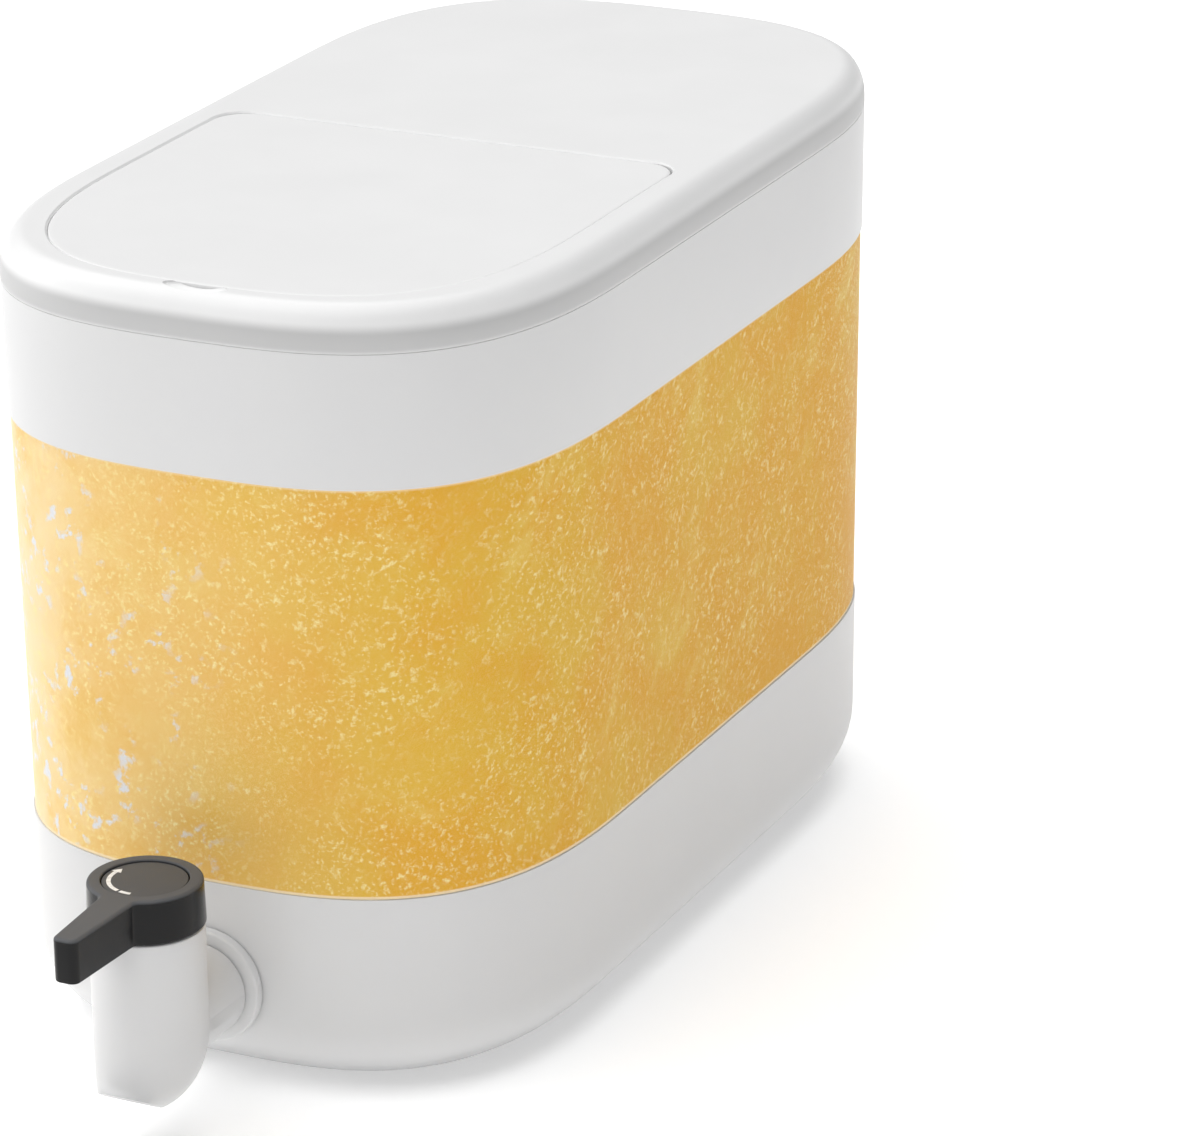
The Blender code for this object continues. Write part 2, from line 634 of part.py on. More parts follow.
def build_knob_screw():
    head_z = SCREW_SEAT_Z + GAP
    top_z = head_z + SCREW_HEAD_HEIGHT
    profile = [
        (0, top_z),
        (SCREW_HEAD_RADIUS, top_z),
        (SCREW_HEAD_RADIUS, head_z),
        (SCREW_RADIUS, head_z),
        (SCREW_RADIUS, SCREW_END_Z),
        (0, SCREW_END_Z),
    ]
    screw = on_spindle("knob_screw", profile, "steel", steps=ROD_STEPS)
    low = (-SLOT_HALF[0], TAP_Y - SLOT_HALF[1], head_z + SLOT_FLOOR)
    combine(screw, block("screw_slot", low, (SLOT_HALF[0], TAP_Y + SLOT_HALF[1], top_z + MM)), "DIFFERENCE")
    return screw


def build_knob():
    cap = on_spindle("knob_cap", rod_profile(CAP_RADIUS, CAP_BOTTOM_Z, CAP_TOP_Z), "black_plastic")
    return [build_grip(), cap, build_knob_screw()]


def hang(name, location, pieces):
    """Parents moving pieces to an empty on their joint's axis, without moving them."""
    pivot = bpy.data.objects.new(name, None)
    PARTS.objects.link(pivot)
    pivot.location = location
    for piece in pieces:
        piece.parent = pivot
        piece.matrix_parent_inverse = Matrix.Translation(location).inverted()


def main():
    build_tank()
    build_collar()
    build_base()
    build_tap_body()
    build_tap_fixings()
    hang("lid_lift", (0, 0, LID_SEAM_Z), [build_lid_frame(), build_gasket(), *build_hinge_pins()])
    hang("flap_hinge", (0, HINGE_Y, HINGE_Z), [build_flap(), build_flap_seal()])
    hang("knob_spindle", (0, TAP_Y, KNOB_BOTTOM_Z), build_valve() + build_knob())


main()
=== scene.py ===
"""Finished look of a countertop drink dispenser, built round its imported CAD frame.

Units are metres, +Z is up, -Y is the tap end and the origin is the centre of the base.
"""

import logging
import math
from collections.abc import Iterable, Mapping, Sequence
from dataclasses import dataclass, field
from enum import Enum
from typing import Any

import bmesh
import bpy
from mathutils import Matrix, Vector


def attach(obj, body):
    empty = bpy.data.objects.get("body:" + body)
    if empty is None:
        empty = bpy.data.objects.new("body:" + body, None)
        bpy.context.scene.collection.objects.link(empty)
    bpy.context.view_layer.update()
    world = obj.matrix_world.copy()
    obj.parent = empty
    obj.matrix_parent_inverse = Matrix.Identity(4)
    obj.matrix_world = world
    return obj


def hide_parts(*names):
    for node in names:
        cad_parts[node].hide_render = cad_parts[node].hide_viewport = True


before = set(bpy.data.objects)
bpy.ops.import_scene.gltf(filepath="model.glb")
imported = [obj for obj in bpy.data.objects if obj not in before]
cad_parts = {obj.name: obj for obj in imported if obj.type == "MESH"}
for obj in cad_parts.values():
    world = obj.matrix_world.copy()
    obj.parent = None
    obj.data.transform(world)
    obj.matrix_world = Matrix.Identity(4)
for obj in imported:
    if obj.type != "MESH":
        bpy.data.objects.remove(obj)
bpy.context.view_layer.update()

MM = 0.001
QUARTER = math.pi / 2
LOG = logging.getLogger("dispenser")

# Places that several sub-assemblies share
WINDOW_LOW = 47.7 * MM
WINDOW_HIGH = 141.0 * MM
TAP_AXIS_Y = -149.5 * MM
SHANK_Z = 24.0 * MM
BEHIND_WALL_Y = -100.0 * MM

# How finely pieces are made, how far joined ones overlap, and how far cutters reach past what they cut
ROUND_STEPS = 96
CORNER_STEPS = 8
MERGE_WITHIN = 0.0005 * MM
SHARP_ANGLE = math.radians(32)
OVERLAP = 0.3 * MM
BEYOND = 5 * MM

Point2 = tuple[float, float]
Colour = tuple[float, float, float]
Piece = bpy.types.Object
Material = bpy.types.Material
Socket = bpy.types.NodeSocket
# How far out or in a profile's corner lies, its height and, where it is rounded, its radius
Corner = Sequence[float]


class Rider(Enum):
    """The bodies that a piece can ride on."""

    TANK = "tank"
    LID = "lid"
    FLAP = "flap"
    KNOB = "knob"


class Slot(Enum):
    """Names of material slots for new pieces, which this script doesn't use."""

    CLEAR_TANK = "clear_tank"
    WHITE_BODY = "white_body"
    WHITE_LID = "white_lid"
    WHITE_TAP = "white_tap"
    SILICONE = "silicone"
    BLACK_KNOB = "black_knob"


class Cut(Enum):
    """What a tool does to the piece it meets."""

    JOIN = "UNION"
    REMOVE = "DIFFERENCE"


# Shader wiring


def linear(colour: Colour) -> tuple[float, float, float, float]:
    """Turns a display colour, 0 to 1, into the linear one with an alpha that a shader takes."""
    steps = [c / 12.92 if c <= 0.04045 else ((c + 0.055) / 1.055) ** 2.4 for c in colour]
    return (steps[0], steps[1], steps[2], 1.0)


class Value:
    """A number in a shader, which takes part in Python sums."""

    def __init__(self, wiring: "Wiring", socket: Socket) -> None:
        """Keeps the socket and the wiring that it belongs to."""
        self.wiring = wiring
        self.socket = socket

    def __add__(self, other: "Value | float") -> "Value":
        """Adds a value or a number."""
        return self.wiring.sum_of("ADD", self, other)

    def __mul__(self, other: "Value | float") -> "Value":
        """Multiplies by a value or a number."""
        return self.wiring.sum_of("MULTIPLY", self, other)

    def step(self, start: float, end: float) -> "Value":
        """Rises smoothly from 0 at the start to 1 at the end, which may lie below the start."""
        node = self.wiring.node(
            "ShaderNodeMapRange",
            {"interpolation_type": "SMOOTHSTEP"},
            {"Value": self, "From Min": start, "From Max": end},
        )
        return Value(self.wiring, node.outputs["Result"])


class Wiring:
    """The nodes of one material, round its Principled shader."""

    def __init__(self, name: str) -> None:
        """Starts a material with a plain shader and its output."""
        self.material = bpy.data.materials.new(name)
        self.material.use_nodes = True
        self.tree = self.material.node_tree
        self.shader = self.tree.nodes["Principled BSDF"]
        self.place = self.node("ShaderNodeTexCoord").outputs["Object"]

    def node(
        self, kind: str, settings: Mapping[str, Any] | None = None, inputs: Mapping[Any, Any] | None = None
    ) -> bpy.types.Node:
        """Adds any node.

        Args:
            kind: The node's type.
            settings: Its own settings, which are set first.
            inputs: Values or links for its sockets, by name or number.

        Returns:
            The node.
        """
        made = self.tree.nodes.new(kind)
        for name, setting in (settings or {}).items():
            setattr(made, name, setting)
        for key, value in (inputs or {}).items():
            self.feed(made.inputs[key], value)
        return made

    def feed(self, socket: Socket, value: Any) -> None:
        """Links a value or a socket to a socket, or sets its own number or colour."""
        if isinstance(value, Value):
            value = value.socket
        if isinstance(value, Socket):
            self.tree.links.new(value, socket)
        else:
            socket.default_value = value

    def sum_of(self, operation: str, first: "Value | float", second: "Value | float") -> Value:
        """Adds one Math node for two values or numbers."""
        made = self.node("ShaderNodeMath", {"operation": operation}, {0: first, 1: second})
        return Value(self, made.outputs[0])

    def noise(self, scale: float, detail: float = 2.0, vector: Any = None, **inputs: float) -> Value:
        """A cloudy pattern about 0.5 on average, with this many clouds to a metre and finer layers."""
        sockets = {"Vector": vector or self.place, "Scale": scale, "Detail": detail, **inputs}
        return Value(self, self.node("ShaderNodeTexNoise", inputs=sockets).outputs[0])

    def axis(self, name: str) -> Value:
        """The piece's own X, Y or Z."""
        parts = self.node("ShaderNodeSeparateXYZ", inputs={0: self.place})
        return Value(self, parts.outputs[name])

    def drawn_out(self, turn: Sequence[float], stretch: Sequence[float]) -> Socket:
        """Coordinates that draw a pattern out along the axes of a turned frame."""
        sockets = {"Vector": self.place, "Rotation": turn, "Scale": stretch}
        return self.node("ShaderNodeMapping", {"vector_type": "TEXTURE"}, sockets).outputs[0]

    def mix(self, amount: Value, first: Any, second: Any) -> Socket:
        """Blends two display colours or sockets, from 0 for the first to 1 for the second."""
        first, second = (linear(c) if isinstance(c, tuple) else c for c in (first, second))
        made = self.node("ShaderNodeMix", {"data_type": "RGBA"}, {0: amount, 6: first, 7: second})
        return made.outputs[2]

    def relief(self, height: Value, depth: float) -> None:
        """Raises the surface by a height pattern, to a depth in metres."""
        bump = self.node("ShaderNodeBump", inputs={"Height": height, "Distance": depth, "Strength": 1.0})
        self.feed(self.shader.inputs["Normal"], bump.outputs[0])

    def constant(self, **sockets: Any) -> None:
        """Sets the shader's own sockets to plain values, with _ for a space in a name."""
        for name, value in sockets.items():
            self.shader.inputs[name.replace("_", " ")].default_value = value

    def vary(self, **sockets: Any) -> None:
        """Feeds the shader's sockets with what changes over the surface."""
        for name, value in sockets.items():
            self.feed(self.shader.inputs[name.replace("_", " ")], value)


# Finishes


@dataclass(frozen=True)
class ShadeBand:
    """A band of a moulding, between two fades in height, painted in a darker colour: painted shade where
    less light falls on it.
    """

    colour: Colour
    upper: tuple[float, float]
    lower: tuple[float, float] | None = None
    rougher: float = 0.0

    def cover(self, height: Value) -> Value:
        """How much of the band's painted shade there is at a height, from 0 to 1."""
        below = height.step(*self.upper)
        return below * height.step(*self.lower) if self.lower else below


@dataclass(frozen=True)
class MouldedPlastic:
    """An opaque moulded plastic, with a faint drift in its colour and gloss, a fine surface and bands of
    painted shade by height.
    """

    name: str
    colour: Colour
    drift: Colour
    gloss: float
    gloss_drift: float = 0.05
    grain: float = 0.012 * MM
    grain_scale: float = 900.0
    ior: float = 1.49
    shade_bands: tuple[ShadeBand, ...] = ()

    def material(self) -> Material:
        """Builds the material."""
        wiring = Wiring(self.name)
        clouds = wiring.noise(28, 3.0, Roughness=0.6)
        colour = wiring.mix(clouds.step(0.3, 0.7), self.colour, self.drift)
        flow = wiring.noise(75, 4.0, Roughness=0.7)
        rough = flow * (2 * self.gloss_drift) + (self.gloss - self.gloss_drift)
        # Mix in each band of painted shade by height
        for tone in self.shade_bands:
            cover = tone.cover(wiring.axis("Z"))
            colour = wiring.mix(cover, colour, tone.colour)
            rough = rough + cover * tone.rougher
        wiring.vary(Base_Color=colour, Roughness=rough)
        wiring.relief(wiring.noise(self.grain_scale, 2.0), self.grain)
        wiring.constant(IOR=self.ior)
        return wiring.material


@dataclass(frozen=True)
class ClearWall:
    """The tank's clear plastic, which mostly lets the drink's colour through."""

    name: str = "clear_wall"
    colour: Colour = (0.97, 0.97, 0.96)
    shown: float = 0.03

    def material(self) -> Material:
        """Builds the material."""
        wiring = Wiring(self.name)
        haze = wiring.noise(40, 3.0)
        wiring.vary(Roughness=haze * 0.08 + 0.1)
        wiring.vary(Base_Color=wiring.mix(haze, self.colour, (0.93, 0.94, 0.94)))
        wiring.relief(wiring.noise(260, 1.0), 0.008 * MM)
        wiring.constant(Alpha=self.shown, IOR=1.49)
        return wiring.material


@dataclass(frozen=True)
class PulpyDrink:
    """A golden juice with drifting clouds, fine pulp in clusters, and its left front painted paler: partly
    froth and partly painted light from the left.
    """

    name: str = "orange_juice"
    deep: Colour = (0.91, 0.675, 0.19)
    golden: Colour = (0.905, 0.725, 0.255)
    light: Colour = (0.93, 0.81, 0.42)
    pulp: Colour = (0.97, 0.89, 0.62)
    pale: Colour = (0.965, 0.83, 0.55)
    palest: Colour = (0.935, 0.885, 0.765)
    froth: Colour = (0.885, 0.885, 0.9)
    line: Colour = (0.99, 0.9, 0.74)
    slant: float = math.radians(-50)

    def material(self) -> Material:
        """Builds the material."""
        wiring = Wiring(self.name)
        place_x, place_y, place_z = (wiring.axis(name) for name in "XYZ")
        tilt = (self.slant, 0.0, 0.0)
        clouds = wiring.noise(22, 6.0, Roughness=0.66)
        wisps = wiring.noise(40, 6.0, wiring.drawn_out(tilt, (1.0, 1.0, 1.9)), Roughness=0.72)
        drift = wiring.noise(26, 6.0, Roughness=0.68)
        # The left front is painted paler, palest towards the left edge: partly froth flecks, partly painted
        # light from the left
        left = place_x.step(56 * MM, -50 * MM) * place_y.step(30 * MM, -90 * MM)
        froth_and_painted_light_edge = place_x.step(-15 * MM, -62 * MM) * place_y.step(60 * MM, -60 * MM)
        clusters = wiring.noise(34, 6.0, Roughness=0.7).step(0.34, 0.58)
        short = wiring.drawn_out(tilt, (1.0, 1.0, 1.3))
        shreds = wiring.noise(640, 5.0, short, Roughness=0.75).step(0.53, 0.64)
        grains = wiring.noise(1300, 2.0).step(0.58, 0.7)
        flecks = wiring.noise(250, 4.0, Roughness=0.62).step(0.54, 0.64)
        patches = wiring.noise(60, 3.0).step(0.43, 0.52)
        lower = place_z.step(WINDOW_LOW + 0.85 * MM, WINDOW_LOW + 0.45 * MM)
        upper = place_z.step(WINDOW_HIGH - 0.6 * MM, WINDOW_HIGH - 0.3 * MM)
        layers = [
            (clouds.step(0.38, 0.64), self.golden),
            (wisps.step(0.5, 0.72) * 0.8, self.light),
            (left * (drift.step(0.3, 0.6) * 0.55 + 0.4), self.pale),
            (froth_and_painted_light_edge * (drift.step(0.36, 0.6) * 0.6 + 0.2), self.palest),
            (shreds * (clusters * 0.7 + 0.22), self.pulp),
            (grains * (clusters * 0.5 + 0.2), self.pulp),
            (flecks * patches * left.step(0.35, 0.75), self.froth),
            (lower + upper * 0.5, self.line),
        ]
        colour: Any = self.deep
        for amount, tone in layers:
            colour = wiring.mix(amount, colour, tone)
        wiring.vary(Base_Color=colour, Roughness=shreds * 0.15 + 0.4)
        wiring.constant(IOR=1.12)
        return wiring.material


@dataclass(frozen=True)
class BrushedSteel:
    """Plain stainless steel with fine turning marks."""

    name: str = "stainless_steel"

    def material(self) -> Material:
        """Builds the material."""
        wiring = Wiring(self.name)
        marks = wiring.noise(1400, 3.0, wiring.drawn_out((0, 0, 0), (12.0, 1.0, 1.0)))
        wiring.vary(Base_Color=wiring.mix(marks, (0.78, 0.78, 0.79), (0.68, 0.69, 0.71)))
        wiring.vary(Roughness=marks * 0.2 + 0.2)
        wiring.relief(marks, 0.01 * MM)
        wiring.constant(Metallic=1.0)
        return wiring.material


@dataclass(frozen=True)
class PrintedInk:
    """White pad-printed ink, slightly uneven."""

    name: str = "white_print"

    def material(self) -> Material:
        """Builds the material."""
        wiring = Wiring(self.name)
        cover = wiring.noise(900, 3.0)
        thin, thick = (0.88, 0.88, 0.88), (0.97, 0.97, 0.97)
        wiring.vary(Base_Color=wiring.mix(cover.step(0.3, 0.6), thin, thick))
        wiring.vary(Roughness=cover * 0.2 + 0.35)
        return wiring.material


@dataclass(frozen=True)
class StudioPaper:
    """The seamless white paper that the dispenser stands on."""

    name: str = "studio_paper"
    glow: float = 0.3

    def material(self) -> Material:
        """Builds the material."""
        wiring = Wiring(self.name)
        fibres = wiring.noise(300, 4.0)
        dull, bright = (0.985, 0.985, 0.985), (0.995, 0.995, 0.995)
        wiring.vary(Base_Color=wiring.mix(fibres, dull, bright))
        wiring.constant(Roughness=0.9, Specular_IOR_Level=0.0)
        wiring.constant(Emission_Color=(1.0, 1.0, 1.0, 1.0), Emission_Strength=self.glow)
        return wiring.material


Finish = MouldedPlastic | ClearWall | PulpyDrink | BrushedSteel | PrintedInk


def built(finish: Finish) -> Any:
    """A field whose material is built along with the palette."""
    return field(default_factory=finish.material)


@dataclass(frozen=True)
class Palette:
    """One material for each finish of the dispenser."""

    # The body's white is set darker than the lid's, painted shade on the upright collar and base; its band
    # is painted shade on the rounded foot near the floor
    body: Material = built(
        MouldedPlastic(
            "white_plastic",
            (0.856, 0.856, 0.858),
            (0.862, 0.862, 0.862),
            gloss=0.36,
            shade_bands=(ShadeBand((0.76, 0.76, 0.762), (10 * MM, 1 * MM)),),
        )
    )
    # The lid's band is painted shade: a darker ring on the skirt, from below the rounded top edge down to
    # the seam
    lid: Material = built(
        MouldedPlastic(
            "white_lid_plastic",
            (0.937, 0.937, 0.937),
            (0.945, 0.945, 0.945),
            gloss=0.4,
            shade_bands=(ShadeBand((0.76, 0.76, 0.76), (177.4 * MM, 174.9 * MM), (170.3 * MM, 171.9 * MM)),),
        )
    )
    # The tap's white is set darker than the lid's, painted shade on the tap
    tap: Material = built(
        MouldedPlastic("white_tap_plastic", (0.845, 0.845, 0.848), (0.855, 0.855, 0.855), gloss=0.32)
    )
    silicone: Material = built(
        MouldedPlastic("white_silicone", (0.85, 0.855, 0.86), (0.87, 0.87, 0.87), gloss=0.55)
    )
    # The knob's plastic is painted mid grey, a painted reflection of the bright ceiling on its top; the
    # band below the rim gives its sides the plastic's black
    black: Material = built(
        MouldedPlastic(
            "black_knob_plastic",
            (0.36, 0.365, 0.375),
            (0.375, 0.38, 0.39),
            gloss=0.62,
            grain=0.02 * MM,
            grain_scale=1500.0,
            ior=1.31,
            shade_bands=(ShadeBand((0.06, 0.06, 0.064), (58.75 * MM, 58.1 * MM), rougher=-0.4),),
        )
    )
    clear: Material = built(ClearWall())
    drink: Material = built(PulpyDrink())
    steel: Material = built(BrushedSteel())
    ink: Material = built(PrintedInk())


# Shaping tools


def rounded(*corners: Corner, closed: bool = False, steps: int = 5) -> list[Point2]:
    """Rounds the corners of a profile.

    Args:
        corners: The corners in order.
        closed: Whether the last joins the first.
        steps: Facets in each rounding.

    Returns:
        The profile's points.
    """
    points: list[Point2] = []
    places = [Vector(corner[:2]) for corner in corners]
    for index, here in enumerate(places):
        at_end = not closed and index in (0, len(corners) - 1)
        if at_end or len(corners[index]) == 2:
            points.append((here.x, here.y))
            continue
        radius = corners[index][2]
        back = (places[index - 1] - here).normalized()
        ahead = (places[(index + 1) % len(places)] - here).normalized()
        half = back.angle(ahead) / 2
        middle = here + (back + ahead).normalized() * radius / math.sin(half)
        start = here + back * radius / math.tan(half) - middle
        end = here + ahead * radius / math.tan(half) - middle
        for step in range(steps + 1):
            point = middle + start.slerp(end, step / steps) * radius
            points.append((point.x, point.y))
    return points


def band(outer: float, inner: float, low: float, high: float, edge: float) -> list[Point2]:
    """The closed profile of a flat ring with rounded edges."""
    places = [(outer, low), (outer, high), (inner, high), (inner, low)]
    return rounded(*((across, z, edge) for across, z in places), closed=True)


def spread(start: float, end: float, steps: int) -> list[float]:
    """Evenly spaced values with both ends."""
    return [start + (end - start) * step / steps for step in range(steps + 1)]


def arc(x: float, y: float, radius: float, start: float, end: float, steps: int) -> list[Point2]:
    """Points along a part of a circle, with both ends."""
    return [(x + radius * math.cos(a), y + radius * math.sin(a)) for a in spread(start, end, steps)]


class Moulding:
    """A piece being shaped with bmesh operators."""

    def __init__(self) -> None:
        """Starts with an empty mesh."""
        self.bm = bmesh.new()

    def chain(self, points: Iterable[Sequence[float]], closed: bool) -> tuple[list[Any], list[Any]]:
        """Adds a line of vertices, which may close on itself, and gives them with their edges."""
        corners = [self.bm.verts.new(point) for point in points]
        ends = corners[1:] + (corners[:1] if closed else [])
        return corners, [self.bm.edges.new(pair) for pair in zip(corners, ends)]

    def loft(self, sections: Sequence[Sequence[Sequence[float]]], ring: bool = False) -> "Moulding":
        """Extrudes an outline through each section in turn.

        Args:
            sections: Outlines with the same number of points.
            ring: Whether the last section joins the first, and otherwise both ends are closed with a face.

        Returns:
            The moulding itself.
        """
        corners, edges = self.chain(sections[0], True)
        first = edges
        for section in [*sections[1:], *(sections[:1] if ring else [])]:
            made = bmesh.ops.extrude_edge_only(self.bm, edges=edges)["geom"]
            fresh = {item for item in made if isinstance(item, bmesh.types.BMVert)}
            corners = [
                next(e.other_vert(corner) for e in corner.link_edges if e.other_vert(corner) in fresh)
                for corner in corners
            ]
            for corner, point in zip(corners, section):
                corner.co = point
            edges = [e for e in made if isinstance(e, bmesh.types.BMEdge) and fresh.issuperset(e.verts)]
        if not ring:
            bmesh.ops.edgeloop_fill(self.bm, edges=first)
            bmesh.ops.edgeloop_fill(self.bm, edges=edges)
        return self

    def turn(self, profile: Sequence[Point2], closed: bool = False, steps: int = ROUND_STEPS) -> "Moulding":
        """Spins a profile of radius and height about the Z axis. A ring's profile is closed."""
        corners, edges = self.chain([(radius, 0.0, height) for radius, height in profile], closed)
        about = {"cent": (0, 0, 0), "axis": (0, 0, 1), "dvec": (0, 0, 0), "angle": 2 * math.pi}
        bmesh.ops.spin(self.bm, geom=[*corners, *edges], steps=steps, use_merge=True, **about)
        return self

    def rod(self, radius: float, start: float, end: float, steps: int = ROUND_STEPS) -> "Moulding":
        """Adds a rod on the Z axis between two heights."""
        return self.turn([(0, start), (radius, start), (radius, end), (0, end)], steps=steps)

    def ball(self, half_size: Sequence[float], middle: Sequence[float]) -> "Moulding":
        """Adds an ellipsoid."""
        bmesh.ops.create_uvsphere(self.bm, u_segments=ROUND_STEPS, v_segments=ROUND_STEPS // 2, radius=1)
        bmesh.ops.scale(self.bm, vec=half_size, verts=self.bm.verts)
        bmesh.ops.translate(self.bm, vec=middle, verts=self.bm.verts)
        return self

    def block(self, low: Sequence[float], high: Sequence[float]) -> "Moulding":
        """Adds a box between two corners, for a tool that cuts."""
        bmesh.ops.create_cube(self.bm, size=1)
        bmesh.ops.scale(self.bm, vec=[b - a for a, b in zip(low, high)], verts=self.bm.verts)
        bmesh.ops.translate(self.bm, vec=[(a + b) / 2 for a, b in zip(low, high)], verts=self.bm.verts)
        return self

    def move(self, matrix: Matrix) -> "Moulding":
        """Moves or turns everything made so far."""
        bmesh.ops.transform(self.bm, matrix=matrix, verts=self.bm.verts)
        return self

    def piece(self, name: str) -> Piece:
        """Closes the seams, turns the faces outwards and makes the object."""
        bmesh.ops.remove_doubles(self.bm, verts=self.bm.verts, dist=MERGE_WITHIN)
        bmesh.ops.recalc_face_normals(self.bm, faces=self.bm.faces)
        mesh = bpy.data.meshes.new(name)
        self.bm.to_mesh(mesh)
        self.bm.free()
        smooth(mesh)
        made = bpy.data.objects.new(name, mesh)
        bpy.context.scene.collection.objects.link(made)
        return made


def lofted(name: str, sections: Sequence[Sequence[Sequence[float]]], ring: bool = False) -> Piece:
    """A piece that is one loft."""
    return Moulding().loft(sections, ring).piece(name)


def facing_front(z: float) -> Matrix:
    """Lays a piece made about Z down, so that its height runs along -Y, and lifts it to a height."""
    return Matrix.Translation((0, 0, z)) @ Matrix.Rotation(QUARTER, 4, "X")


def on_tap_axis() -> Matrix:
    """Moves a piece made about Z to the axis that the tap and its knob share."""
    return Matrix.Translation((0, TAP_AXIS_Y, 0))


def smooth(mesh: bpy.types.Mesh) -> None:
    """Shades a mesh smooth, apart from its sharp edges."""
    mesh.shade_smooth()
    mesh.set_sharp_from_angle(angle=SHARP_ANGLE)


def shaped(piece: Piece, joined: Sequence[Piece] = (), removed: Sequence[Piece] = ()) -> Piece:
    """Joins tools to a piece and then cuts it with others. The tools are used up.

    Args:
        piece: The piece to change.
        joined: Tools that become a part of it.
        removed: Tools that are cut out of it.

    Returns:
        The piece.
    """
    steps = [(Cut.JOIN, tool) for tool in joined] + [(Cut.REMOVE, tool) for tool in removed]
    for cut, tool in steps:
        modifier = piece.modifiers.new(tool.name, "BOOLEAN")
        modifier.operation = cut.value
        modifier.solver = "EXACT"
        modifier.object = tool
    ready = piece.evaluated_get(bpy.context.evaluated_depsgraph_get())
    mesh = bpy.data.meshes.new_from_object(ready)
    piece.modifiers.clear()
    piece.data = mesh
    mesh.name = piece.name
    for _, tool in steps:
        bpy.data.objects.remove(tool)
    smooth(mesh)
    return piece


def fit(
    piece: Piece,
    material: Material,
    rider: Rider,
    stands_for: Sequence[str] = (),
) -> None:
    """Dresses a new piece and puts it on its body.

    Args:
        piece: The new piece.
        material: Its finish.
        rider: The body that it moves with.
        stands_for: CAD nodes that it is shown in place of.
    """
    piece.data.materials.clear()
    piece.data.materials.append(material)
    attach(piece, rider.value)
    if stands_for:
        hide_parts(*stands_for)
    LOG.info("%s: %d faces, rides on %s", piece.name, len(piece.data.polygons), rider.value)


def carry(names: Iterable[str], material: Material) -> None:
    """Gives CAD nodes that stay in view a finish."""
    for name in names:
        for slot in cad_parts[name].material_slots:
            slot.material = material
        LOG.info("%s: CAD node kept", name)


# Outlines


@dataclass(frozen=True)
class BodyOval:
    """The body's outline from above: straight sides with rounded ends, slightly narrower at the base."""

    half_width: float = 67.5 * MM
    straight_half: float = 46.6 * MM
    end_reach: float = 78.6 * MM
    roundness: float = 2.884
    draft: float = 0.0117
    seam_z: float = 171.0 * MM
    base_fillet: float = 18.3 * MM
    steps: int = 40

    def quarter(self, half_width: float, reach: float) -> list[Point2]:
        """A quarter of a rounded end, from its widest point to its tip."""
        power = 2 / self.roundness
        angles = spread(0, QUARTER, self.steps)[:-1]
        points = [(half_width * math.cos(a) ** power, reach * math.sin(a) ** power) for a in angles]
        return [*points, (0.0, reach)]

    def outline(self, inset: float, z: float) -> list[Vector]:
        """The outline at a height, drawn in by an inset, anticlockwise from above."""
        drawn_in = inset + self.draft * max(0.0, self.seam_z - z)
        quarter = self.quarter(self.half_width - drawn_in, self.end_reach - drawn_in)
        quarter = [(x, y + self.straight_half) for x, y in quarter]
        rear = quarter + [(-x, y) for x, y in reversed(quarter[:-1])]
        front = [(-x, -y) for x, y in rear]
        return [Vector((x, y, z)) for x, y in rear + front]

    def sections(self, profile: Sequence[Point2]) -> list[list[Vector]]:
        """Outlines for a profile of insets and heights."""
        return [self.outline(inset, z) for inset, z in profile]

    def foot(self, depth: float, steps: int = 12) -> list[Point2]:
        """The rounded bottom edge, from the flat base up to the side, at a depth under the skin."""
        middle = self.base_fillet
        return arc(middle, middle, middle - depth, -QUARTER, -math.pi, steps)


@dataclass(frozen=True)
class FlapOutline:
    """The flap's outline: its front follows the lid, and its rear edge lies straight across."""

    oval: BodyOval
    half_width: float = 57.1 * MM
    reach: float = 70.4 * MM
    corner: float = 8.0 * MM
    least_corner: float = 2.0 * MM
    corner_steps: int = 10

    def outline(self, grow: float, z: float, rear_y: float = 0.0) -> list[Vector]:
        """The outline at a height, grown by an amount, with its rear edge at a place before it grows."""
        half, radius = self.half_width + grow, max(self.corner + grow, self.least_corner)
        turn = arc(half - radius, rear_y + grow - radius, radius, QUARTER, 0, self.corner_steps)
        side = [(x, -y - self.oval.straight_half) for x, y in self.oval.quarter(half, self.reach + grow)]
        right = turn + side
        left = [(-x, y) for x, y in reversed(right[:-1])]
        return [Vector((x, y, z)) for x, y in right + left]

    def sections(self, profile: Sequence[Point2], rear_y: float = 0.0) -> list[list[Vector]]:
        """Outlines for a profile of growths and heights."""
        return [self.outline(grow, z, rear_y) for grow, z in profile]


# Sub-assemblies


